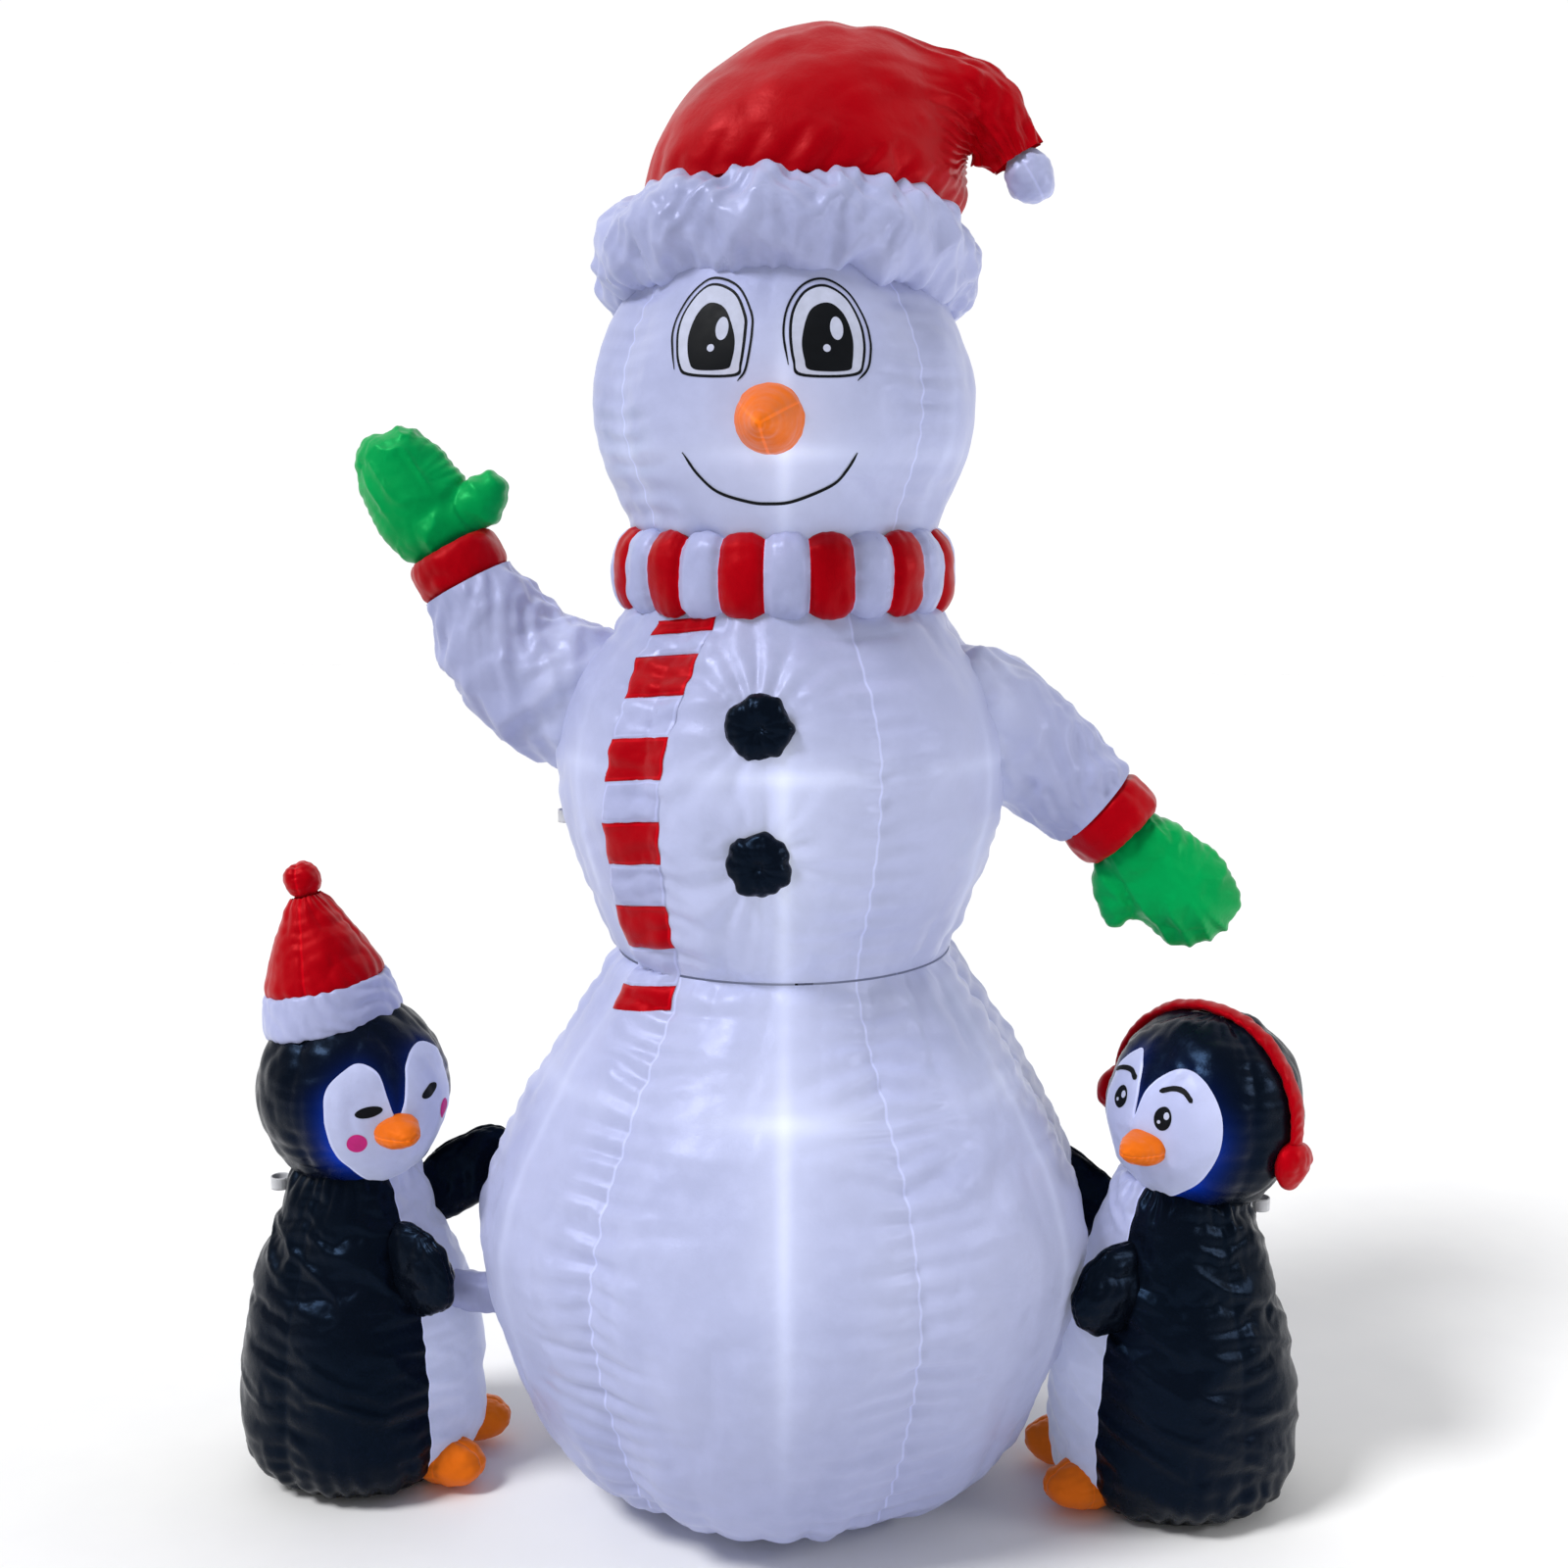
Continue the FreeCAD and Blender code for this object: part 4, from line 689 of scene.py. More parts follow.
blower_points = node_points("blower_case")
blower_middle = (np.array(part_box("blower_case")[0]) + np.array(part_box("blower_case")[1])) / 2
BLOWER_TILT = math.radians(20)
BLOWER_AXIS = np.array([0.0, math.cos(BLOWER_TILT), -math.sin(BLOWER_TILT)])
case_reach = (blower_points - blower_middle) @ BLOWER_AXIS
BLOWER_MOUTH = blower_middle + BLOWER_AXIS * case_reach.max()
COLLAR_RADIUS = 0.0845


def from_blower(points):
    """Distance from the blower's axis line, for points on the back."""
    away = points - BLOWER_MOUTH
    square = away - (away @ BLOWER_AXIS)[..., None] * BLOWER_AXIS
    return np.where(points[..., 1] > 0.2, np.linalg.norm(square, axis=-1), 9.0)


def seam_folds(grid, seams, pitch, length, size, pinch, seed):
    """Puckers and the pinched line along each upright seam."""
    away, which = from_seam(grid, seams)
    total = np.zeros_like(away)
    for i in range(len(seams)):
        folds = gathers(grid.along, np.abs(away), pitch, length, seed + 31 * i)
        total = total + np.where(which == i, folds, 0.0)
    grid.seam = np.abs(away)
    return size * total - pinch * fading(away, 0.03)


def edge_folds(grid, level, pitch, length, size, seed):
    """Upright gathers that run away from a seam round the body."""
    away = np.abs(grid.height - level)
    girth = np.radians(signed(grid.azimuth)) * grid.radius.min()
    return size * gathers(girth, away, pitch, length, seed)


def edge_gathers(h, grid, girth, levels, size, pitch, length, seed):
    """Fold heights with gathers added at the stitched rims at some levels."""
    for i, level in enumerate(levels):
        h = h + size * gathers(girth, np.abs(grid.height - level), pitch, length, seed + i)
    return h


def button_folds(points, centre, size, seed):
    """Wrinkles that radiate from a gathered button."""
    away = points - centre
    reach = np.linalg.norm(away, axis=-1)
    around = np.arctan2(away[..., 2], away[..., 0])
    ring = np.abs(np.sin(around * 7 + 1.6 * value_noise(np.stack([np.cos(around), np.sin(around),
                                                                  0 * around], -1) * 1.7, seed)))
    fade = np.exp(-((reach - 0.045) / 0.085).clip(0) ** 1.3)
    return size * ((ring - 0.5) * fade * (reach < 0.4) - 0.9 * band(reach, 0.07))


@contextmanager
def editing(obj):
    """The object's mesh as a bmesh that is written back afterwards."""
    mesh = bmesh.new()
    mesh.from_mesh(obj.data)
    yield mesh
    mesh.to_mesh(obj.data)
    mesh.free()


def anywhere(middle):
    """Wants every open edge."""
    return True


def close_ends(obj, wanted=anywhere):
    """Close the open edges whose middles are wanted with flat panels."""
    with editing(obj) as mesh:
        rims = [e for e in mesh.edges if e.is_boundary and wanted((e.verts[0].co + e.verts[1].co) / 2)]
        made = bmesh.ops.holes_fill(mesh, edges=rims, sides=0)["faces"]
        bmesh.ops.triangulate(mesh, faces=made)


def puffed(name, grid, height, paint, replaces, air=None, ends=None, body="snowman"):
    """Push a grid out by its folds, settle it in air, smooth it and place it as a padded piece."""
    grid.push(height)
    obj = build(name, grid)
    if air is not None:
        settle(obj, *air)
    finer(obj)
    if ends is not None:
        close_ends(obj, ends)
    return place_piece(obj, paint, replaces, body)


def body_skin(name, stations, seams, folds, held_ends, step=1.0):
    grid = turned_grid(stations, azimuths(seams, step))
    grid.push(folds(grid))
    obj = build(name, grid)
    held = np.where(grid.seam < SEAM_HOLD, 1.0, 0.0)
    for row in held_ends:
        held[row] = 1.0
    held[from_blower(grid.points) < 0.10] = 1.0
    settle(obj, held.ravel(), 4.0, -0.045, 0.010)
    finer(obj)
    return obj


def lower_folds(grid):
    h = seam_folds(grid, GORE_SEAMS, 0.040, 0.095, 0.034, 0.009, 11)
    h += edge_folds(grid, WAIST, 0.062, 0.10, 0.016, 41)
    h += edge_folds(grid, 0.03, 0.050, 0.13, 0.022, 43) * np.clip(grid.height / 0.02, 0, 1)
    h += 0.0040 * creases(grid.points, 0.10, 5, (1, 1, 0.7))
    h += 0.004 * lumps(grid.points, 0.30, 6)
    round_blower = (from_blower(grid.points) - 0.08).clip(0)
    h += 0.006 * gathers(np.radians(grid.azimuth % 360) * 0.1, round_blower, 0.012, 0.05, 8)
    zip_side = band(grid.points[..., 0], 0.035) * (grid.points[..., 1] > 0) * (grid.height > ZIP_FOOT)
    h *= np.clip(grid.height / 0.012, 0, 1) * np.clip((WAIST - grid.height) / 0.03, 0, 1)
    return h * (1 - zip_side) - 0.002 * zip_side


def torso_folds(grid):
    h = seam_folds(grid, GORE_SEAMS, 0.038, 0.075, 0.026, 0.008, 211)
    h += edge_folds(grid, WAIST, 0.055, 0.10, 0.017, 241)
    h += edge_folds(grid, NECK, 0.050, 0.08, 0.012, 243)
    for height, seed in zip(BUTTON_HEIGHTS, (3, 4)):
        centre = np.array([0, -np.interp(height, torso_stations[:, 1], torso_stations[:, 0]), height])
        h += button_folds(grid.points, centre, 0.016, seed)
    h += 0.0040 * creases(grid.points, 0.09, 7, (1, 1, 0.7))
    h += 0.004 * lumps(grid.points, 0.25, 8)
    return h * np.clip((grid.height - WAIST) / 0.03, 0, 1)


def head_folds(grid):
    h = seam_folds(grid, FACE_SEAMS, 0.034, 0.065, 0.019, 0.007, 311)
    h += edge_folds(grid, NECK, 0.045, 0.07, 0.012, 341)
    front = np.abs(np.radians(signed(grid.azimuth - 1)) * grid.radius)
    dart = fading(front, 0.006) * np.clip((grid.height - FOREHEAD) / 0.06, 0, 1)
    chin = gathers(grid.height, front, 0.022, 0.03, 9) * band(grid.height - CHIN, 0.05)
    h += -0.005 * dart + 0.006 * chin
    h += 0.0028 * creases(grid.points, 0.09, 17, (1, 1, 0.8))
    h += 0.003 * lumps(grid.points, 0.25, 18)
    return h


def cut_blower_hole(obj):
    """Open the back panel for the blower and draw the opening's edge onto the case."""
    with editing(obj) as mesh:
        inside = [f for f in mesh.faces
                  if from_blower(np.array(f.calc_center_median())[None])[0] < COLLAR_RADIUS]
        bmesh.ops.delete(mesh, geom=inside, context="FACES")
        for vertex in [v for edge in mesh.edges if edge.is_boundary for v in edge.verts]:
            away = np.array(vertex.co) - BLOWER_MOUTH
            depth = away @ BLOWER_AXIS
            square = away - depth * BLOWER_AXIS
            size = np.linalg.norm(square)
            if size < 0.12:
                vertex.co = Vector(BLOWER_MOUTH + depth * BLOWER_AXIS + square * COLLAR_RADIUS / size)


button_points = node_points("coal_buttons")
BUTTON_HEIGHTS = [float((p[:, 2].max() + p[:, 2].min()) / 2) for p in
                  (button_points[button_points[:, 2] > 1.25], button_points[button_points[:, 2] < 1.25])]

lower_stations = profile(node_tree("base_panel", "lower_front_gore"), 0.0015, WAIST - 0.0005, LAY)
torso_stations = profile(node_tree("torso_front_gore"), WAIST + 0.0005, NECK - 0.0005, LAY)
head_stations = profile(node_tree("head_front_panel"), NECK + 0.0005, HEAD_TOP - 0.0005, LAY * 0.9)

lower_skin = body_skin("lower_body_skin", lower_stations, GORE_SEAMS, lower_folds, (0, 1, -1))
torso_skin = body_skin("torso_skin", torso_stations, GORE_SEAMS, torso_folds, (0, -1), 1.5)
head_skin = body_skin("head_skin", head_stations, FACE_SEAMS, head_folds, (0, -1), 2.0)
cut_blower_hole(lower_skin)
close_ends(lower_skin, lambda middle: middle.z < 0.02)
for skin, nodes, paint in ((lower_skin, LOWER_NODES, "white"), (torso_skin, TORSO_NODES, "white"),
                           (head_skin, HEAD_NODES, "head")):
    glow_of(skin)
    place_piece(skin, paint, nodes)
LOWER_SKIN_TREE = tree_of(lower_skin)
TORSO_SKIN_TREE = tree_of(torso_skin)
HEAD_SKIN_TREE = tree_of(head_skin)


# ---------------------------------------------------------------- paths, balls and patches

def through(a, b, c, d, f):
    """Points between b and c on the smooth curve through a, b, c and d."""
    bend = 2 * a - 5 * b + 4 * c - d
    twist = 3 * b - a - 3 * c + d
    return 0.5 * (2 * b + (c - a) * f + bend * f ** 2 + twist * f ** 3)


def smooth_path(points, count):
    """Points evenly spread in parameter along a curve through the given rows."""
    points = np.asarray(points, float)
    padded = np.concatenate([2 * points[:1] - points[1:2], points, 2 * points[-1:] - points[-2:-1]])
    t = np.linspace(0, len(points) - 1 - 1e-9, count)
    i = t.astype(int)
    return through(padded[i], padded[i + 1], padded[i + 2], padded[i + 3], (t - i)[:, None])


def path_grid(centres, radii, count, front=-Y_AXIS, axes=None):
    """Rings round a path; angle 0 faces the front."""
    axes = np.gradient(centres, axis=0) if axes is None else axes
    axes = axes / np.linalg.norm(axes, axis=1, keepdims=True)
    fronts = front - (axes @ front)[:, None] * axes
    fronts = fronts / np.linalg.norm(fronts, axis=1, keepdims=True)
    sides = np.cross(axes, fronts)
    turns = turns_round(count)
    out = fronts[:, None] * np.cos(turns)[None, :, None] + sides[:, None] * np.sin(turns)[None, :, None]
    radii = np.broadcast_to(np.asarray(radii, float).reshape(len(centres), -1), (len(centres), count))
    grid = Grid(centres[:, None] + out * radii[..., None])
    grid.azimuth = np.broadcast_to(np.degrees(turns), radii.shape)
    grid.radius = radii
    grid.out = out
    return grid


def measured_path_grid(tree, centres, count, axes=None, passes=3):
    """The same rings with radii read from the CAD surface around them."""
    probe = path_grid(centres, np.ones(len(centres)), count, axes=axes)
    radii = np.empty(probe.radius.shape)
    for i, centre in enumerate(centres):
        for j in range(count):
            radii[i, j] = ray_radius(tree, centre, probe.out[i, j], 0.32)
    for j in range(count):
        radii[:, j] = filled(radii[:, j]) if np.isfinite(radii[:, j]).any() else np.nan
    middle = np.nanmedian(radii, axis=1, keepdims=True)
    radii = np.where(np.isfinite(radii), radii, middle)
    radii = np.clip(radii, middle * 0.8, middle * 1.25)
    radii = eased(radii, passes)
    radii = eased(radii.T, passes, wrap=True).T
    return path_grid(centres, radii, count, axes=axes)


def turn_matrix(axis, degrees, place=(0, 0, 0)):
    matrix = np.eye(4)
    matrix[:3, :3] = np.array(Matrix.Rotation(math.radians(degrees), 3, axis))
    matrix[:3, 3] = place
    return matrix


def moved(place):
    matrix = np.eye(4)
    matrix[:3, 3] = place
    return matrix


def apply_matrix(matrix, points):
    return points @ matrix[:3, :3].T + matrix[:3, 3]


def ball_grid(matrix, radii, step):
    """An ellipsoid whose poles are on its own Z, open by a pinhole at each."""
    rows = max(10, int(math.pi * max(radii) / step))
    count = max(16, int(2 * math.pi * max(radii[0], radii[1]) / step))
    rise = np.linspace(-math.pi / 2 + 0.04, math.pi / 2 - 0.04, rows)
    around = degrees_round(count)
    unit = np.cos(rise)[:, None, None] * outward(around)[None] + np.sin(rise)[:, None, None] * Z_AXIS
    grid = Grid(apply_matrix(matrix, unit * np.array(radii)))
    grid.azimuth = np.broadcast_to(around, grid.points.shape[:2])
    grid.rise = np.broadcast_to(np.degrees(rise)[:, None], grid.points.shape[:2])
    grid.radius = np.broadcast_to((np.cos(rise) * max(radii[0], radii[1]))[:, None], grid.points.shape[:2])
    grid.unit = unit
    return grid


def ball_folds(grid, seed, crumple=0.003, size=0.05, seams=(), pinch=0.003, pucker=0.003, pitch=0.02):
    """Crumples, side seams with puckers, and gathers at both poles."""
    h = crumple * creases(grid.points, size, seed) + crumple * lumps(grid.points, size * 2, seed + 1)
    if seams:
        away = np.abs(from_seam(grid, list(seams))[0])
        h = h + pucker * gathers(grid.along, away, pitch, pitch * 1.6, seed + 2)
        h = h - pinch * fading(away, 0.01)
        grid.seam = away
    return h


def smooth_outline(corners, count):
    """A closed smooth outline through (across, up) corners."""
    corners = np.asarray(corners, float)
    total = len(corners)
    t = np.linspace(0, total, count, endpoint=False)
    i = t.astype(int)
    return through(corners[i - 1], corners[i], corners[(i + 1) % total], corners[(i + 2) % total],
                   (t - i)[:, None])


def filled_patch(name, outline, centre, lay, lift, puff, rings, edge=0.0):
    """A panel inside an outline; lay drops (across, up) rows onto a surface as points and normals."""
    shares = np.linspace(0.04, 1.0, rings)
    flat = np.asarray(centre)[None, None] + shares[:, None, None] * (outline - np.asarray(centre))[None]
    points, normals = lay(flat.reshape(-1, 2))
    height = lift + puff * (1 - shares ** 4)
    height[-1] = edge
    points = points.reshape(*flat.shape[:2], 3) + normals.reshape(*flat.shape[:2], 3) * height[:, None, None]
    obj = build(name, Grid(points[::-1]))
    middle = points[0].mean(0)
    reach = 0.35 * max(0.004, float(np.linalg.norm(points[-1] - middle, axis=1).max()))
    close_ends(obj, lambda spot: (spot - Vector(middle)).length < reach)
    return obj


def split_off(obj, name, wanted):
    """Move the faces whose centres are wanted to a new object."""
    other = obj.copy()
    other.data = obj.data.copy()
    other.name = other.data.name = name
    scene.collection.objects.link(other)
    mask = wanted(np.array([p.center for p in obj.data.polygons]))
    for target, keep in ((obj, ~mask), (other, mask)):
        with editing(target) as mesh:
            bmesh.ops.delete(mesh, geom=[f for f in mesh.faces if not keep[f.index]], context="FACES")
    return other


# ---------------------------------------------------------------- arms

ARM_RINGS = {
    "right": [(0.235, 1.312), (0.363, 1.361), (0.436, 1.405), (0.481, 1.457), (0.514, 1.511), (0.530, 1.540)],
    "left": [(0.235, 1.332), (0.348, 1.308), (0.405, 1.272), (0.462, 1.230), (0.517, 1.183)],
}
ARM_ENDS = {
    "right": {"side": -1, "rise": 61, "palm": (0.061, 0.092, 66), "thumb": (-0.044, 0.070, 130)},
    "left": {"side": 1, "rise": -46, "palm": (0.086, -0.082, -46), "thumb": (-0.014, -0.096, -86)},
}
SHOULDER = 0.33
CUFF_RADIUS, CUFF_LENGTH = 0.076, 0.064
PALM, THUMB = (0.088, 0.058, 0.118), (0.038, 0.038, 0.068)


def arm_frame(side, rise, place):
    return turn_matrix("Y", side * (90 - rise), place)


def sleeve(name):
    side = ARM_ENDS[name]["side"]
    rings = [(side * x, 0.0, z) for x, z in ARM_RINGS[name]]
    centres = even_stations(smooth_path(rings, 80), 0.011)
    grid = measured_path_grid(node_tree(f"{name}_sleeve", "sleeve_roots"), centres, 72)
    from_cuff = grid.along[-1:] - grid.along
    shoulder = (side * grid.points[..., 0] - SHOULDER).clip(0)
    girth = np.radians(signed(grid.azimuth)) * 0.1
    h = 0.012 * streaks(grid.along - girth, grid.along + girth, 0.032, 0.10, 5 + side)
    h += 0.012 * streaks(grid.along + 0.8 * girth, girth - 0.8 * grid.along, 0.038, 0.10, 15 + side)
    h += 0.004 * creases(grid.points, 0.05, 45 + side)
    h += 0.007 * gathers(girth, from_cuff, 0.022, 0.045, 55)
    h += 0.010 * gathers(girth, shoulder, 0.034, 0.06, 65)
    grid.seam = np.abs(np.radians(grid.azimuth - (90 if side < 0 else 270)) * grid.radius)
    h -= 0.004 * fading(grid.seam, 0.012)
    h *= np.clip(from_cuff / 0.01, 0.1, 1)
    obj = puffed(f"{name}_sleeve_skin", grid, h, "white", (f"{name}_sleeve", "sleeve_roots"),
                 (hold_rows(grid, 1, 1), 3.0, -0.03, 0.008, 14), body=None)
    add_attribute(obj, "glow", 0.5 * fading(np.abs(coordinates(obj)[:, 0]) - 0.36, 0.05))
    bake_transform(obj)


def cuff(name, arm):
    end = ARM_ENDS[name]
    x, z = ARM_RINGS[name][-1]
    base = arm_frame(end["side"], end["rise"], (end["side"] * x, 0, z))
    lengths = np.linspace(-0.003, CUFF_LENGTH + 0.003, 13)
    edge = np.minimum(lengths + 0.003, CUFF_LENGTH + 0.003 - lengths)
    radii = CUFF_RADIUS + 0.004 - 0.010 * fading(edge, 0.006)
    grid = turned_grid(np.stack([radii, lengths], 1), degrees_round(72), base)
    girth = np.radians(grid.azimuth) * CUFF_RADIUS
    h = 0.003 * creases(grid.points, 0.035, 71)
    h = edge_gathers(h, grid, girth, (0, CUFF_LENGTH), 0.004, 0.02, 0.02, 72)
    puffed(f"{name}_cuff_skin", grid, h, "red", (f"{name}_cuff",), body=arm)


def mitten(name, arm):
    """Palm, thumb and heel grown together, with a seam round the edge of the hand."""
    end = ARM_ENDS[name]
    side = end["side"]
    x, z = ARM_RINGS[name][-1]
    wrist = apply_matrix(arm_frame(side, end["rise"], (side * x, 0, z)), np.array([0, 0, CUFF_LENGTH]))
    shapes = []
    for label in ("palm", "thumb"):
        out, up, lean = end[label]
        place = wrist + np.array([side * out, 0, up])
        shapes.append((arm_frame(side, lean, place), PALM if label == "palm" else THUMB))
    heel = wrist + np.array([side * end["palm"][0] * 0.3, 0, end["palm"][1] * 0.3])
    shapes.append((arm_frame(side, end["rise"], heel), (0.069, 0.062, 0.055)))
    vertices, faces = [], []
    for matrix, radii in shapes:
        part = build(f"{name}_hand_part", ball_grid(matrix, radii, 0.008))
        close_ends(part)
        base = len(vertices)
        vertices += [tuple(v.co) for v in part.data.vertices]
        faces += [[base + i for i in p.vertices] for p in part.data.polygons]
        bpy.data.objects.remove(part)
    obj = new_mesh(f"{name}_mitten_skin", vertices, faces)
    remesh = obj.modifiers.new("one_skin", "REMESH")
    remesh.mode, remesh.voxel_size = "VOXEL", 0.0055
    soften = obj.modifiers.new("soften", "SMOOTH")
    soften.factor, soften.iterations = 0.5, 8
    bake_modifiers(obj)
    co, normals = coordinates(obj), vertex_normals(obj)
    edge = np.abs(co[:, 1])
    centre = np.array(shapes[0][0][:3, 3])
    turn = np.arctan2(co[:, 2] - centre[2], co[:, 0] - centre[0]) * 0.10
    h = 0.0055 * gathers(turn, edge, 0.020, 0.024, 81 + side) - 0.004 * fading(edge, 0.008)
    h += 0.009 * streaks(co[:, 0] + 0.7 * co[:, 2], co[:, 2] - 0.7 * co[:, 0], 0.035, 0.09, 83 + side)
    h += 0.005 * creases(co, 0.08, 85 + side)
    set_coordinates(obj, co + normals * h[:, None])
    add_attribute(obj, "seam", edge)
    settle(obj, np.where(edge < 0.006, 1.0, 0.0), 3.0, -0.02, 0.006, 12)
    finer(obj)
    obj.data.shade_smooth()
    place_piece(obj, "green", (f"{name}_mitten",), body=arm)


for arm_name in ("right", "left"):
    sleeve(arm_name)
    cuff(arm_name, f"{arm_name}_arm")
    mitten(arm_name, f"{arm_name}_arm")


# ---------------------------------------------------------------- scarf

STRIPE = 15.0
FIRST_STRIPE_SEAM = -0.5
collar_low, collar_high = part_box("scarf_collar_red")[0][2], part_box("scarf_collar_red")[1][2]


def rolled(wall, low, high, step):
    """A wall's stations with both rims rolled inwards by (out, up) offsets."""
    low_turn = [wall[0] + np.array(offset) for offset in low]
    high_turn = [wall[-1] + np.array(offset) for offset in high]
    return even_stations(np.concatenate([low_turn, wall, high_turn]), step)


def scarf_collar():
    wall = profile(node_tree("scarf_collar_red"), collar_low + 0.002, collar_high - 0.002, 0.008, azimuth=-8)
    stations = rolled(wall, [(-0.034, 0.014), (-0.012, 0.001)], [(-0.010, 0.001), (-0.030, -0.010)], 0.007)
    seams = [FIRST_STRIPE_SEAM + STRIPE * k for k in range(24)]
    grid = turned_grid(stations, azimuths(seams, 1.25))
    away = from_seam(grid, seams)[0]
    middle = (collar_low + collar_high) / 2
    h = 0.006 - 0.014 * fading(away, 0.010)
    h += 0.005 * gathers(grid.along, np.abs(away), 0.020, 0.018, 91)
    h += 0.003 * creases(grid.points, 0.045, 93)
    girth = np.radians(grid.azimuth % 360) * 0.27
    h += 0.006 * gathers(girth, (collar_high - middle) - np.abs(grid.height - middle), 0.020, 0.022, 95)
    grid.seam = np.abs(away)
    grid.push(h)
    red = build("scarf_collar_red_skin", grid)
    finer(red)

    def in_white(centres):
        azimuth = np.degrees(np.arctan2(centres[:, 0], -centres[:, 1]))
        return np.floor((azimuth - FIRST_STRIPE_SEAM) / STRIPE) % 2 == 0

    white = split_off(red, "scarf_collar_white_skin", in_white)
    place_piece(red, "red", ("scarf_collar_red",))
    place_piece(white, "trim", ("scarf_collar_white",))


TAIL_CUTS = [(1.500, -30), (1.478, -30.5), (1.445, -31.5), (1.385, -30.5), (1.325, -31.5), (1.259, -33),
             (1.194, -34.5), (1.125, -35.5), (1.054, -38), (0.981, -39.5), (0.916, -41.5), (0.879, -41)]
TAIL_WIDTH = 0.108


def on_body(azimuth, height):
    """The outermost point of the snowman's skins at an azimuth and height, and its normal."""
    out = outward(azimuth)
    best = None
    for slide in (0, 0.004, -0.004, 0.008, -0.008, 0.016, -0.016, 0.03, -0.03):
        centre = np.array([0, 0, height + slide])
        for tree in (LOWER_SKIN_TREE, TORSO_SKIN_TREE, HEAD_SKIN_TREE):
            hit = tree.ray_cast(Vector(centre + out * 0.8), Vector(-out), 0.8)
            if hit[0] is not None and (best is None or hit[3] < best[2]):
                best = (np.array(hit[0]) - Z_AXIS * slide, np.array(hit[1]), hit[3])
        if best is not None:
            return best[0], best[1]
    raise ValueError(f"no skin at {azimuth} {height}")


def scarf_tail():
    """Patches sewn flat on the torso, each a little puffed inside its stitching."""
    for i in range(len(TAIL_CUTS) - 1):
        (high, start), (low, stop) = TAIL_CUTS[i], TAIL_CUTS[i + 1]
        rows, columns = max(6, int((high - low) / 0.004)), 28
        points = np.empty((rows, columns, 3))
        for a, v in enumerate(np.linspace(0, 1, rows)):
            height = low + (high - low) * v
            azimuth = stop + (start - stop) * v
            radius = np.linalg.norm(on_body(azimuth, height)[0][:2])
            for b, u in enumerate(np.linspace(-0.5, 0.5, columns)):
                skew = 0.012 * u
                spot, normal = on_body(azimuth + math.degrees(u * TAIL_WIDTH / radius), height + skew)
                inside = (1 - abs(2 * u) ** 6) * (1 - abs(2 * v - 1) ** 6)
                points[a, b] = spot + normal * (0.0012 + 0.0035 * inside)
        grid = Grid(points, wrap=False)
        grid.push(0.0016 * creases(grid.points, 0.035, 101 + i))
        across = np.minimum(grid.round, grid.round[:, -1:] - grid.round)
        upward = np.minimum(grid.along, grid.along[-1:] - grid.along)
        grid.seam = np.abs(np.minimum(across, upward) - 0.004)
        shade, paint = ("red", "red") if i % 2 == 0 else ("white", "trim")
        place_piece(build(f"scarf_tail_{shade}_{i}", grid), paint, (f"scarf_tail_{shade}",))


scarf_collar()
scarf_tail()


# ---------------------------------------------------------------- hat

HAT_TILT = 10.6
HAT_FRAME = turn_matrix("X", -HAT_TILT, (0, 0, 1.830))
BRIM_LOW, BRIM_HIGH = 0.148, 0.300
# The hat's middle line: across, back, up and sideways lean.
HAT_LINE = [(0.008, 0.050, 2.120, 0), (0.030, 0.056, 2.186, 8), (0.076, 0.058, 2.264, 22),
            (0.158, 0.058, 2.310, 40), (0.236, 0.058, 2.311, 61), (0.287, 0.058, 2.298, 84),
            (0.325, 0.052, 2.276, 110), (0.352, 0.046, 2.248, 130), (0.372, 0.040, 2.216, 148)]


def hat_brim():
    wall = profile(node_tree("hat_brim"), BRIM_LOW, BRIM_HIGH, 0.009, HAT_FRAME, 90, 4)
    stations = rolled(wall, [(-0.030, 0.012), (-0.012, -0.002)], [(-0.012, 0.002), (-0.034, -0.010)], 0.009)
    grid = turned_grid(stations, degrees_round(200), HAT_FRAME)
    girth = np.radians(signed(grid.azimuth)) * 0.30
    height = grid.height
    h = 0.017 * streaks(girth - 0.8 * height, girth * 0.8 + height, 0.032, 0.11, 111)
    h += 0.013 * streaks(girth + 1.3 * height, height - girth * 0.5, 0.041, 0.10, 112)
    h += 0.007 * streaks(girth, height, 0.019, 0.09, 113)
    h += 0.0035 * creases(grid.points, 0.045, 115)
    h = edge_gathers(h, grid, girth, (BRIM_LOW, BRIM_HIGH), 0.009, 0.034, 0.035, 116)
    puffed("hat_brim_skin", grid, h, "trim", ("hat_brim",),
           (hold_rows(grid, 2, 2), 3.0, -0.03, 0.008, 14))


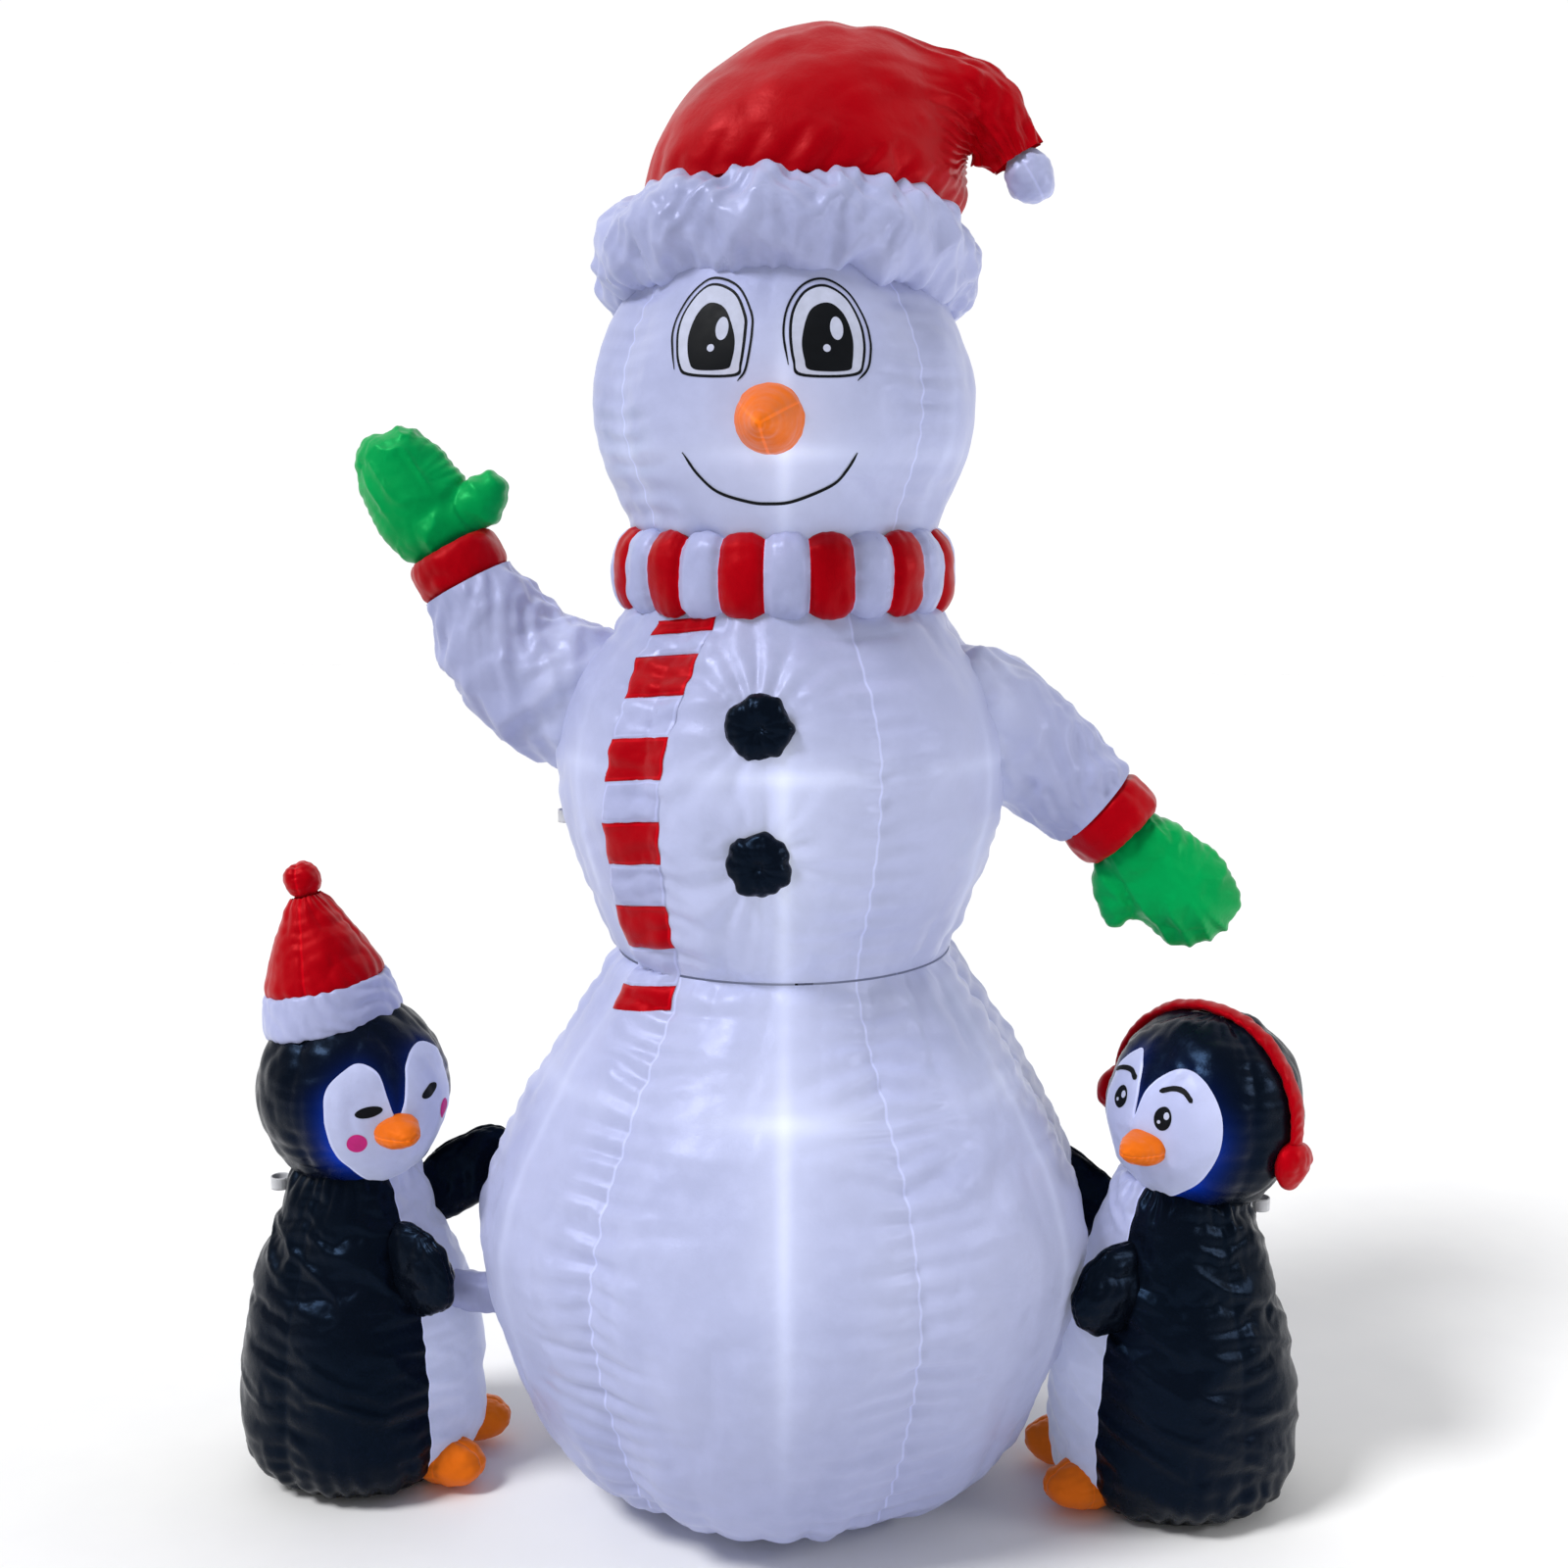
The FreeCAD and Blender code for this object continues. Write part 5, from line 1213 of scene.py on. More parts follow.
def hat_crown():
    line = smooth_path(HAT_LINE, 200)
    lengths = np.concatenate([[0], np.cumsum(np.linalg.norm(np.diff(line[:, :3], axis=0), axis=1))])
    even = np.linspace(0, lengths[-1], 52)
    line = np.stack([np.interp(even, lengths, line[:, k]) for k in range(4)], 1)
    back = -HAT_TILT * np.clip(1 - even / 0.14, 0, 1)
    axes = []
    for lean, tilt in zip(line[:, 3], back):
        turn = Matrix.Rotation(math.radians(tilt), 3, "X") @ Matrix.Rotation(math.radians(lean), 3, "Y")
        axes.append(np.array(turn @ Vector((0, 0, 1))))
    grid = measured_path_grid(node_tree("hat_crown", "hat_tail"), line[:, :3], 150, np.array(axes), 2)
    girth = np.radians(grid.azimuth) * grid.radius.max(axis=1, keepdims=True)
    over_brim = (apply_matrix(np.linalg.inv(HAT_FRAME), grid.points)[..., 2] - BRIM_HIGH + 0.01).clip(0)
    h = 0.009 * gathers(np.radians(signed(grid.azimuth)) * 0.25, over_brim, 0.058, 0.060, 121)
    h += 0.007 * streaks(np.radians(signed(grid.azimuth)) * 0.22, grid.along, 0.075, 0.22, 122)
    h += 0.0065 * creases(grid.points, 0.15, 123, (1, 1, 1.3)) + 0.006 * lumps(grid.points, 0.13, 124)
    fold = band(grid.points[..., 0] - 0.285, 0.035)
    h += fold * 0.008 * (np.abs(np.sin(girth / 0.012 + 2 * lumps(grid.points, 0.05, 125))) - 0.5)
    tail = np.clip((grid.points[..., 0] - 0.29) / 0.03, 0, 1)
    h += tail * 0.006 * creases(grid.points, 0.04, 126)
    grid.seam = np.abs(np.radians(signed(grid.azimuth - 90)) * grid.radius)
    h -= 0.004 * fading(grid.seam, 0.012)
    obj = puffed("hat_skin", grid, h, "red", ("hat_crown", "hat_tail"),
                 (hold_rows(grid, 3, 2), 4.0, -0.03, 0.010, 14), body=None)
    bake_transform(obj)


def hat_pompom():
    grid = ball_grid(turn_matrix("Y", 148, (0.388, 0.036, 2.186)), (0.041, 0.041, 0.044), 0.005)
    h = ball_folds(grid, 131, 0.0035, 0.03, (0, 90, 180, 270), 0.002, 0.003, 0.014)
    puffed("hat_pompom_skin", grid, h, "trim", ("hat_pompom",), ends=anywhere, body="hat_tip")


hat_brim()
hat_crown()
hat_pompom()


# ---------------------------------------------------------------- face, nose and buttons

HEAD_RADIUS = 0.29
MOUTH = [(-24.9, 1.752), (-21.1, 1.721), (-15.4, 1.694), (-5.5, 1.679), (1.2, 1.676), (9.2, 1.680),
         (20.8, 1.703), (24.9, 1.725), (27.5, 1.751)]
EYES = {
    "right_eye": {
        "white": [(-26.8, 1.930), (-25.3, 1.968), (-19.3, 1.996), (-10.5, 1.984), (-6.0, 1.950),
                  (-5.5, 1.922), (-6.2, 1.880), (-8.0, 1.863), (-21.0, 1.865), (-24.8, 1.880)],
        "pupil": [(-23.0, 1.919), (-21.4, 1.952), (-17.6, 1.969), (-12.0, 1.958), (-8.3, 1.917),
                  (-8.7, 1.882), (-10.5, 1.871), (-19.0, 1.871), (-21.6, 1.884)],
        "glints": [(-12.3, 1.930, 0.010, 0.017), (-15.2, 1.902, 0.0055, 0.0055)]},
    "left_eye": {
        "white": [(8.0, 1.926), (9.3, 1.960), (13.5, 1.986), (20.2, 1.993), (26.6, 1.972), (29.4, 1.928),
                  (28.6, 1.884), (25.5, 1.864), (11.0, 1.863), (8.8, 1.884)],
        "pupil": [(11.2, 1.916), (14.0, 1.956), (19.7, 1.968), (24.2, 1.952), (26.1, 1.917), (25.4, 1.882),
                  (23.6, 1.869), (13.4, 1.869), (11.7, 1.884)],
        "glints": [(21.5, 1.930, 0.010, 0.017), (18.2, 1.901, 0.0055, 0.0055)]},
}


def onto(tree, matrix=None, reach=0.8):
    """A lookup that drops (azimuth, height) rows onto a surface from outside."""
    matrix = np.eye(4) if matrix is None else matrix

    def lay(rows):
        points, normals = np.empty((len(rows), 3)), np.empty((len(rows), 3))
        for i, (azimuth, height) in enumerate(rows):
            out = outward(azimuth)
            start = apply_matrix(matrix, out * reach + Z_AXIS * height)
            ray = matrix[:3, :3] @ -out
            hit = tree.ray_cast(Vector(start), Vector(ray), reach)
            if hit[0] is None:
                near = tree.find_nearest(Vector(apply_matrix(matrix, out * 0.05 + Z_AXIS * height)))
                hit = (near[0], near[1])
            normal = np.array(hit[1])
            points[i], normals[i] = hit[0], normal if normal @ ray < 0 else -normal
        return points, normals

    return lay


def print_on(name, outline, lay, lift, ink_name, count=72, rings=10):
    """A flat printed shape that follows the fabric under it."""
    shape = smooth_outline(outline, count)
    place_piece(filled_patch(name, shape, shape.mean(0), lay, lift, 0.0, rings, lift - 0.0002), ink_name)


def scaled(outline, share, radius):
    """An outline grown or shrunk by a distance measured on the surface."""
    outline = np.asarray(outline, float)
    flat = outline * np.array([math.radians(1) * radius, 1.0])
    middle = flat.mean(0)
    away = flat - middle
    size = np.linalg.norm(away, axis=1, keepdims=True)
    return (middle + away * (size + share) / size) / np.array([math.radians(1) * radius, 1.0])


def stroke(name, path, width, lay, lift, radius):
    """A printed black line of even width with tapered ends."""
    scale = np.array([math.radians(1) * radius, 1.0])
    flat = smooth_path(path, 80) * scale
    along = np.gradient(flat, axis=0)
    along /= np.linalg.norm(along, axis=1, keepdims=True)
    square = np.stack([-along[:, 1], along[:, 0]], 1)
    share = np.linspace(0, 1, len(flat))
    taper = np.clip(np.minimum(share, 1 - share) / 0.06, 0.15, 1) ** 0.5
    rows = np.array([(flat + square * (u * width * taper)[:, None]) / scale
                     for u in (-0.5, -0.17, 0.17, 0.5)])
    points, normals = lay(rows.reshape(-1, 2))
    points = (points + normals * lift).reshape(4, len(flat), 3)
    place_piece(build(name, Grid(points, wrap=False)), "ink_black")


def snowman_face():
    lay = onto(HEAD_SKIN_TREE)
    for name, eye in EYES.items():
        edge, inside = (scaled(eye["white"], grow, HEAD_RADIUS) for grow in (0.003, -0.0015))
        print_on(f"{name}_line", edge, lay, 0.0008, "ink_black")
        print_on(f"{name}_white", inside, lay, 0.0013, "ink_white")
        print_on(f"{name}_pupil", eye["pupil"], lay, 0.0018, "ink_black")
        for i, (azimuth, height, across, tall) in enumerate(eye["glints"]):
            turns = turns_round(12)
            ring = np.stack([azimuth + np.degrees(across * np.cos(turns) / HEAD_RADIUS),
                             height + tall * np.sin(turns)], 1)
            print_on(f"{name}_glint_{i}", ring, lay, 0.0023, "ink_white", 32, 5)
        rim = scaled(eye["white"], 0.011, HEAD_RADIUS)
        stroke(f"{name}_lash", np.concatenate([rim[9:], rim[:8]]), 0.0035, lay, 0.0010, HEAD_RADIUS)
    stroke("mouth_line", MOUTH, 0.0048, lay, 0.0012, HEAD_RADIUS)


def carrot_nose():
    low, high = (np.array(corner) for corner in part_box("carrot_nose"))
    middle = (low + high) / 2
    base = turn_matrix("X", 94, (middle[0], high[1], 1.800))
    stations = smooth_path([(0.045, 0.004), (0.053, 0.012), (0.050, 0.028), (0.042, 0.055), (0.030, 0.085),
                            (0.017, 0.115), (0.008, 0.131), (0.003, 0.136)], 44)
    stations[:, 1] *= (high[1] - low[1]) / 0.137
    grid = turned_grid(stations, degrees_round(64), base)
    girth = np.radians(grid.azimuth) * 0.05
    h = 0.0018 * creases(grid.points, 0.03, 141, (1, 0.6, 1)) + 0.0020 * lumps(grid.points, 0.05, 142)
    h += 0.0035 * gathers(girth, grid.height, 0.013, 0.018, 143)
    grid.seam = np.abs(from_seam(grid, [120, 240, 0])[0])
    h -= 0.0015 * fading(grid.seam, 0.004)
    puffed("carrot_nose_skin", grid, h, "orange", ("carrot_nose",),
           ends=lambda spot: spot.y < middle[1])


def coal_button(height, seed):
    """A round pillow gathered round its rim, with a pinched, cornered outline."""
    rim = float(np.interp(height, torso_stations[:, 1], torso_stations[:, 0]))
    stations = smooth_path([(0.042, -0.008), (0.050, 0.002), (0.050, 0.012), (0.044, 0.022), (0.030, 0.029),
                            (0.012, 0.032), (0.002, 0.032)], 30)
    base = turn_matrix("X", 90, (0, -rim, height))
    grid = turned_grid(stations, degrees_round(96), base)
    turns = np.radians(grid.azimuth)
    corner = 0.035 * np.cos(4 * turns + seed) + 0.03 * np.cos(7 * turns + 2 * seed)
    share = np.clip(grid.height / 0.03, 0, 1)
    h = grid.radius * corner * (1 - share ** 3)
    h += 0.004 * gathers(turns * 0.045, (0.05 - grid.radius).clip(0), 0.020, 0.020, 150 + seed)
    h += 0.003 * creases(grid.points, 0.03, 152 + seed)
    h -= 0.009 * band(grid.radius, 0.014)
    puffed(f"coal_button_{seed}_skin", grid, h, "black", ("coal_buttons",),
           ends=lambda spot: (spot - Vector((0, -rim - 0.03, height))).length < 0.02)


snowman_face()
carrot_nose()
for button_height, button_seed in zip(BUTTON_HEIGHTS, (1, 2)):
    coal_button(button_height, button_seed)


# ---------------------------------------------------------------- penguins

BIRD = [(0.145, 0.0), (0.188, 0.038), (0.202, 0.115), (0.198, 0.210), (0.180, 0.320), (0.146, 0.430),
        (0.104, 0.545), (0.080, 0.562)]
BIRD_HEAD = (0.165, 0.165, 0.171)
HEAD_REACH = 0.4
# Faces are drawn in degrees round the head and millimetres above its middle.
FACE_UNITS = np.array([1, 0.001])
PENGUINS = {
    "left_penguin": {"x": -0.737, "y": -0.062, "body": 88, "head": 41, "shift": 0.0, "roll": -6,
                     "near": -1},
    "right_penguin": {"x": 0.670, "y": -0.005, "body": -80, "head": -38, "shift": 0.038, "roll": 9,
                      "near": 1},
}
BIRD_FACES = {
    "left_penguin": {
        "patch": [(-17, 91), (-35, 66), (-39, 24), (-38, -49), (-30, -92), (-18, -128), (4, -142),
                  (24, -134), (40, -98), (52, -46), (56, 20), (51, 67), (37, 89), (17, 71), (7, 12),
                  (1, -7), (-2, 30), (-5, 74)],
        "centre": (1, -60), "closed": [(-14, 14), (26, 16)],
        "cheeks": [(-23, -37), (40, -32)]},
    "right_penguin": {
        "patch": [(-43, 19), (-45, 66), (-37, 100), (-25, 90), (-15, 54), (-11, 11), (-9, 61), (-1, 92),
                  (11, 106), (28, 93), (39, 51), (40, -13), (32, -75), (14, -122), (-8, -140), (-30, -128),
                  (-42, -80)],
        "centre": (-11, -60), "open": [(-26, 26), (7, 28)],
        "brows": [[(-42, 54), (-35, 66), (-27, 70), (-20, 63)], [(0, 66), (8, 76), (15, 76), (21, 66)]]},
}


def bird_frame(bird):
    return turn_matrix("Z", bird["body"], (bird["x"], bird["y"], 0))


def bird_head_frame(bird):
    place = turn_matrix("Z", bird["head"], (bird["x"] + bird["shift"], bird["y"], 0.676))
    return place @ turn_matrix("Y", bird["roll"])


def bird_body(name, bird, seed):
    frame_matrix = bird_frame(bird)
    stations = even_stations(smooth_path(BIRD, 90), 0.008)
    seams = [-37, 37, 180, -110, 110]
    grid = turned_grid(stations, azimuths(seams, 2.2), frame_matrix)
    girth = np.radians(signed(grid.azimuth)) * 0.17
    h = seam_folds(grid, seams, 0.034, 0.045, 0.0060, 0.004, 400 + seed)
    low = np.clip(grid.height / 0.012, 0, 1)
    h += 0.014 * gathers(girth, (grid.height - 0.02).clip(0), 0.036, 0.075, 410 + seed)
    h += 0.008 * gathers(girth, (0.53 - grid.height).clip(0), 0.034, 0.05, 411 + seed)
    h += 0.009 * streaks(grid.height + 0.5 * girth, girth, 0.045, 0.10, 412 + seed)
    h += 0.004 * lumps(grid.points, 0.12, 413 + seed)
    grid.push(h * (0.15 + 0.85 * low))
    black = build(f"{name}_body_skin", grid)
    held = np.where(grid.seam < SEAM_HOLD, 1.0, 0.0)
    held[0] = held[-1] = 1
    settle(black, held.ravel(), 3.0, -0.03, 0.009, 14)
    finer(black)
    inverse = np.linalg.inv(frame_matrix)

    def in_belly(centres):
        local = apply_matrix(inverse, centres)
        return np.abs(np.degrees(np.arctan2(local[:, 0], -local[:, 1]))) < 37

    close_ends(black, lambda middle: middle.z < 0.02)
    belly = split_off(black, f"{name}_belly_skin", lambda c: in_belly(c) & (c[:, 2] > 0.012))
    add_attribute(black, "glow", np.zeros(len(black.data.vertices)))
    add_attribute(belly, "glow", 0.35 * band(coordinates(belly)[:, 2] - 0.25, 0.12))
    place_piece(black, "black", ("penguin_bodies", "penguin_base_panels"))
    place_piece(belly, "face", ("penguin_bellies",))


def bird_head(name, bird, face, seed):
    """The head's skin with its printed face; returns the head's frame."""
    place = bird_head_frame(bird)
    grid = ball_grid(place, BIRD_HEAD, 0.007)
    grid.seam = np.abs(from_seam(grid, [60, 180, 300])[0])
    h = 0.0050 * gathers(grid.along, grid.seam, 0.026, 0.04, 421 + seed) - 0.004 * fading(grid.seam, 0.012)
    up = np.radians(90 - np.abs(grid.rise)) * 0.168
    h += 0.0055 * gathers(np.radians(grid.azimuth % 360) * 0.07, up, 0.026, 0.05, 422 + seed)
    h += 0.0045 * creases(grid.points, 0.06, 423 + seed, (1, 1, 1.4))
    h += 0.003 * lumps(grid.points, 0.12, 424 + seed)
    obj = puffed(f"{name}_head_skin", grid, h, "black", ("penguin_heads",), ends=anywhere)
    lay = onto(tree_of(obj), place, HEAD_REACH)
    edge = smooth_outline(face["patch"] * FACE_UNITS, 160)
    edge_points = lay(edge)[0]
    rim = KDTree(len(edge_points))
    for i, point in enumerate(edge_points):
        rim.insert(Vector(point), i)
    rim.balance()
    near = np.array([rim.find(v.co)[2] for v in obj.data.vertices])
    local = apply_matrix(np.linalg.inv(place), coordinates(obj))
    patchy = 0.55 + 0.45 * lumps(local, 0.05, 433 + seed)
    add_attribute(obj, "glow", fading(near, 0.016) * patchy * np.clip(0.6 - local[:, 2] / 0.16, 0.15, 1))
    patch = bird_face(name, edge, face["centre"] * FACE_UNITS, lay, rim, seed)
    bird_prints(name, face, onto(tree_of(patch), place, HEAD_REACH))
    return place


def bird_face(name, edge, centre, lay, rim, seed):
    """The pale panel sewn into the head, crumpled and lit inside its rim."""
    patch = filled_patch(f"{name}_face_skin", edge, centre, lay, 0.0015, 0.0035, 26, 0.0006)
    co = coordinates(patch)
    rim_away = np.array([rim.find(Vector(p))[2] for p in co])
    crumple = 0.0016 * creases(co, 0.05, 431 + seed) * np.clip(rim_away / 0.012, 0, 1)
    set_coordinates(patch, co + vertex_normals(patch) * crumple[:, None])
    add_attribute(patch, "seam", np.abs(rim_away - 0.003))
    add_attribute(patch, "glow", 0.30 * fading(rim_away, 0.03))
    return place_piece(patch, "face", ("penguin_faces",))


def oval(azimuth, up, across, tall, tilt=0.0):
    """An ellipse on a penguin's face: degrees round the head, and millimetres."""
    turns = turns_round(14)
    x, z = across * np.cos(turns), tall * np.sin(turns)
    c, s = math.cos(tilt), math.sin(tilt)
    return [(azimuth + math.degrees((a * c - b * s) / 165), up + a * s + b * c) for a, b in zip(x, z)]


def bird_prints(name, face, lay):
    """Eyes, cheeks and brows printed on the face."""
    prints = []
    for i, (azimuth, up) in enumerate(face.get("closed", ())):
        tilt = 0.12 if i else -0.02
        prints.append((f"closed_eye_{i}", oval(azimuth, up, 23, 9, tilt), "ink_black", 0.0010))
    for i, (azimuth, up) in enumerate(face.get("cheeks", ())):
        prints.append((f"cheek_{i}", oval(azimuth, up, 17, 17), "ink_pink", 0.0010))
    for i, (azimuth, up) in enumerate(face.get("open", ())):
        prints.append((f"eye_{i}", oval(azimuth, up, 15, 19), "ink_black", 0.0010))
        prints.append((f"eye_light_{i}", oval(azimuth + 1.8, up + 6, 5, 6), "ink_white", 0.0016))
        prints.append((f"eye_spark_{i}", oval(azimuth - 1.8, up - 7, 3, 3), "ink_white", 0.0016))
    for label, outline, ink_name, lift in prints:
        print_on(f"{name}_{label}", outline * FACE_UNITS, lay, lift, ink_name, 40, 6)
    for i, path in enumerate(face.get("brows", ())):
        stroke(f"{name}_brow_{i}", path * FACE_UNITS, 0.008, lay, 0.0010, 0.165)


def small_part(name, matrix, radii, paint, nodes, seed, seams=(90, 270), step=0.006, size=0.045,
               pitch=0.018, amount=1.0, shape=None):
    """A padded ellipsoid with a seam round its edge; shape may bend the points first."""
    grid = ball_grid(matrix, radii, step)
    if shape is not None:
        inverse = np.linalg.inv(matrix)
        grid.points = apply_matrix(matrix, shape(apply_matrix(inverse, grid.points)))
    h = ball_folds(grid, seed, 0.0035 * amount, size, seams, 0.004 * amount, 0.0055 * amount, pitch)
    puffed(name, grid, h, paint, nodes, ends=anywhere)


def bird_limbs(name, bird, seed):
    frame_matrix = bird_frame(bird)
    for side in (-1, 1):
        near = side == bird["near"]
        if near:
            place = (side * 0.104, -0.132, 0.402)
            turns, tilt, radii = side * 30, 18, (0.034, 0.094, 0.076)
        else:
            place = (side * 0.088, -0.150, 0.492)
            turns, tilt, radii = side * 20, -38, (0.034, 0.118, 0.062)
        matrix = frame_matrix @ moved(place) @ turn_matrix("Z", turns) @ turn_matrix("X", tilt)
        label = "near" if near else "far"
        small_part(f"{name}_{label}_flipper_skin", matrix, radii, "black", ("penguin_flippers",),
                   440 + seed + side, (0, 180), amount=1.2)
        matrix = frame_matrix @ moved((side * 0.074, -0.170, 0.044)) @ turn_matrix("Z", side * 14)
        small_part(f"{name}_{label}_foot_skin", matrix, (0.046, 0.072, 0.044), "orange",
                   ("penguin_feet",), 450 + seed + side, (0, 90, 180, 270), size=0.035, pitch=0.016,
                   amount=0.9)
    matrix = bird_head_frame(bird) @ moved((0, -0.169, -0.028)) @ turn_matrix("X", 90)

    def hooked(p):
        """Wider at the face, a blunt point in front."""
        share = np.clip(p[..., 2:] / 0.062, -1, 1)
        squeeze = 1.08 - 0.28 * np.clip(share, 0, 1)
        return np.concatenate([p[..., :2] * squeeze, p[..., 2:]], -1)

    small_part(f"{name}_beak_skin", matrix, (0.036, 0.026, 0.062), "orange",
               ("penguin_beaks",), 460 + seed, (90, 270), 0.004, 0.03, 0.013, 0.55, hooked)


def bird_hat_band(base):
    stations = even_stations(smooth_path([(0.100, 0.010), (0.112, 0.001), (0.117, 0.012), (0.113, 0.040),
                                          (0.108, 0.064), (0.103, 0.074), (0.094, 0.072)], 60), 0.005)
    grid = turned_grid(stations, degrees_round(110), base)
    girth = np.radians(grid.azimuth) * 0.11
    slanted = (girth + grid.height) / 0.045 + lumps(grid.points, 0.06, 471)
    h = 0.0045 * (np.abs(np.sin(math.pi * slanted)) - 0.5)
    h = edge_gathers(h, grid, girth, (0, 0.072), 0.006, 0.02, 0.022, 472)
    puffed("bird_hat_band_skin", grid, h, "trim", ("left_penguin_hat_band",))


def bird_hat_cone(base, tall):
    stations = even_stations(smooth_path([(0.098, -0.008), (0.102, 0.006), (0.095, 0.030), (0.078, 0.070),
                                          (0.056, 0.110), (0.036, tall - 0.010), (0.026, tall)], 80), 0.005)
    grid = turned_grid(stations, degrees_round(110), base)
    grid.seam = np.abs(from_seam(grid, [0, 90, 180, 270])[0])
    turns = np.radians(grid.azimuth)
    h = 0.0045 * gathers(grid.along, grid.seam, 0.024, 0.03, 481) - 0.003 * fading(grid.seam, 0.008)
    h += 0.006 * gathers(turns * 0.09, grid.height.clip(0), 0.022, 0.04, 482)
    h += 0.004 * gathers(turns * 0.04, (tall - grid.height).clip(0), 0.014, 0.04, 483)
    h += 0.0035 * creases(grid.points, 0.05, 484)
    puffed("bird_hat_skin", grid, h, "red", ("left_penguin_hat",))


def bird_hat():
    """The left penguin's hat: a puffed band, a cone and a knob on top."""
    bird = PENGUINS["left_penguin"]
    base = turn_matrix("Y", -11, (bird["x"] - 0.030, bird["y"], 0.792))
    top, tall = base @ moved((0, 0, 0.074)), 0.153
    bird_hat_band(base)
    bird_hat_cone(top, tall)
    small_part("bird_hat_knob_skin", top @ moved((0, 0, tall + 0.0272)), (0.033, 0.033, 0.034), "red",
               ("left_penguin_pompom",), 490, (0, 90, 180, 270), 0.004, 0.03, 0.012, 0.8)


def ear_muffs(place):
    """A padded band over the right penguin's head with a pad at each end."""
    turns = np.radians(np.linspace(-88, 88, 130))
    outs = np.stack([np.sin(turns), 0 * turns, np.cos(turns)], 1)
    centres = apply_matrix(place, outs * np.array([0.172, 0, 0.174]))
    outs = outs @ place[:3, :3].T
    side = place[:3, :3] @ -Y_AXIS
    around = np.radians(degrees_round(24))
    thick = outs[:, None] * (0.0085 * np.cos(around))[None, :, None]
    wide = side * (0.017 * np.sin(around))[None, :, None]
    grid = Grid(centres[:, None] + thick + wide)
    h = 0.002 * creases(grid.points, 0.03, 501) + 0.0025 * gathers(grid.along, 0.0, 0.022, 0.03, 502)
    puffed("ear_muff_band_skin", grid, h, "red", ("right_penguin_muff_band",))
    for flip, label in ((-1, "right"), (1, "left")):
        matrix = place @ moved((flip * 0.173, 0, -0.034)) @ turn_matrix("Y", 90)
        small_part(f"ear_muff_pad_{label}_skin", matrix, (0.042, 0.042, 0.026), "red",
                   ("right_penguin_muff_pads",), 510 + flip, (), 0.004, 0.03, 0.013, 0.9)


for bird_seed, (bird_name, penguin) in enumerate(PENGUINS.items()):
    bird_body(bird_name, penguin, 20 * bird_seed)
    head_place = bird_head(bird_name, penguin, BIRD_FACES[bird_name], 20 * bird_seed)
    bird_limbs(bird_name, penguin, 20 * bird_seed)
bird_hat()
ear_muffs(head_place)


# ---------------------------------------------------------------- fittings in fabric, tape and cord

def air_sleeve():
    """The short duct that feeds the left penguin."""
    low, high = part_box("penguin_air_sleeve")
    start = np.array([low[0] - 0.01, (low[1] + high[1]) / 2, (low[2] + high[2]) / 2])
    stop = np.array([high[0], (low[1] + high[1]) / 2, (low[2] + high[2]) / 2])
    centres = np.linspace(start, stop, 24)
    grid = measured_path_grid(node_tree("penguin_air_sleeve"), centres, 40)
    h = 0.003 * creases(grid.points, 0.03, 521) + 0.0025 * (np.abs(np.sin(grid.along * 90)) - 0.5)
    puffed("penguin_air_sleeve_skin", grid, h, "white", ("penguin_air_sleeve",))


def blower_frame():
    matrix = np.eye(4)
    matrix[:3, 2] = BLOWER_AXIS
    matrix[:3, 0] = (1, 0, 0)
    matrix[:3, 1] = np.cross(BLOWER_AXIS, matrix[:3, 0])
    matrix[:3, 3] = BLOWER_MOUTH
    return matrix


def blower_collar():
    """A gathered cuff round the blower."""
    inverse = np.linalg.inv(blower_frame())
    cuff_points = apply_matrix(inverse, node_points("blower_collar"))
    radii = np.linalg.norm(cuff_points[:, :2], axis=1)
    low, high, inner, outer = cuff_points[:, 2].min(), cuff_points[:, 2].max(), radii.min(), radii.max()
    stations = even_stations([(inner + 0.0008, low), (outer + 0.002, low + 0.004),
                              (outer + 0.001, high - 0.004), (inner + 0.0008, high)], 0.0015)
    grid = turned_grid(stations, degrees_round(240), blower_frame())
    girth = np.radians(grid.azimuth) * outer
    h = 0.0022 * (np.abs(np.sin(math.pi * (girth / 0.011 + lumps(grid.points, 0.03, 531)))) - 0.5)
    h *= np.clip((grid.height - low) / 0.004, 0.1, 1)
    puffed("blower_collar_skin", grid, h, "white", ("blower_collar",))


def drawstring():
    """The closed cord over the collar, with its strands twisted."""
    ring_points = apply_matrix(np.linalg.inv(blower_frame()), node_points("collar_drawstring"))
    radii = np.linalg.norm(ring_points[:, :2], axis=1)
    major, minor = (radii.max() + radii.min()) / 2, (radii.max() - radii.min()) / 2
    strands = turns_round(14)
    rows = []
    for turn in turns_round(260):
        out = np.array([math.cos(turn), math.sin(turn), 0])
        twist = 1 + 0.10 * np.abs(np.cos(2 * strands + 40 * turn))
        rows.append(major * out + ring_points[:, 2].mean() * Z_AXIS + minor * 0.92 * twist[:, None] * (
            np.cos(strands)[:, None] * out + np.sin(strands)[:, None] * Z_AXIS))
    rows.append(rows[0])
    cord = build("drawstring_cord_skin", Grid(apply_matrix(blower_frame(), np.array(rows))))
    place_piece(cord, "cord", ("collar_drawstring",))


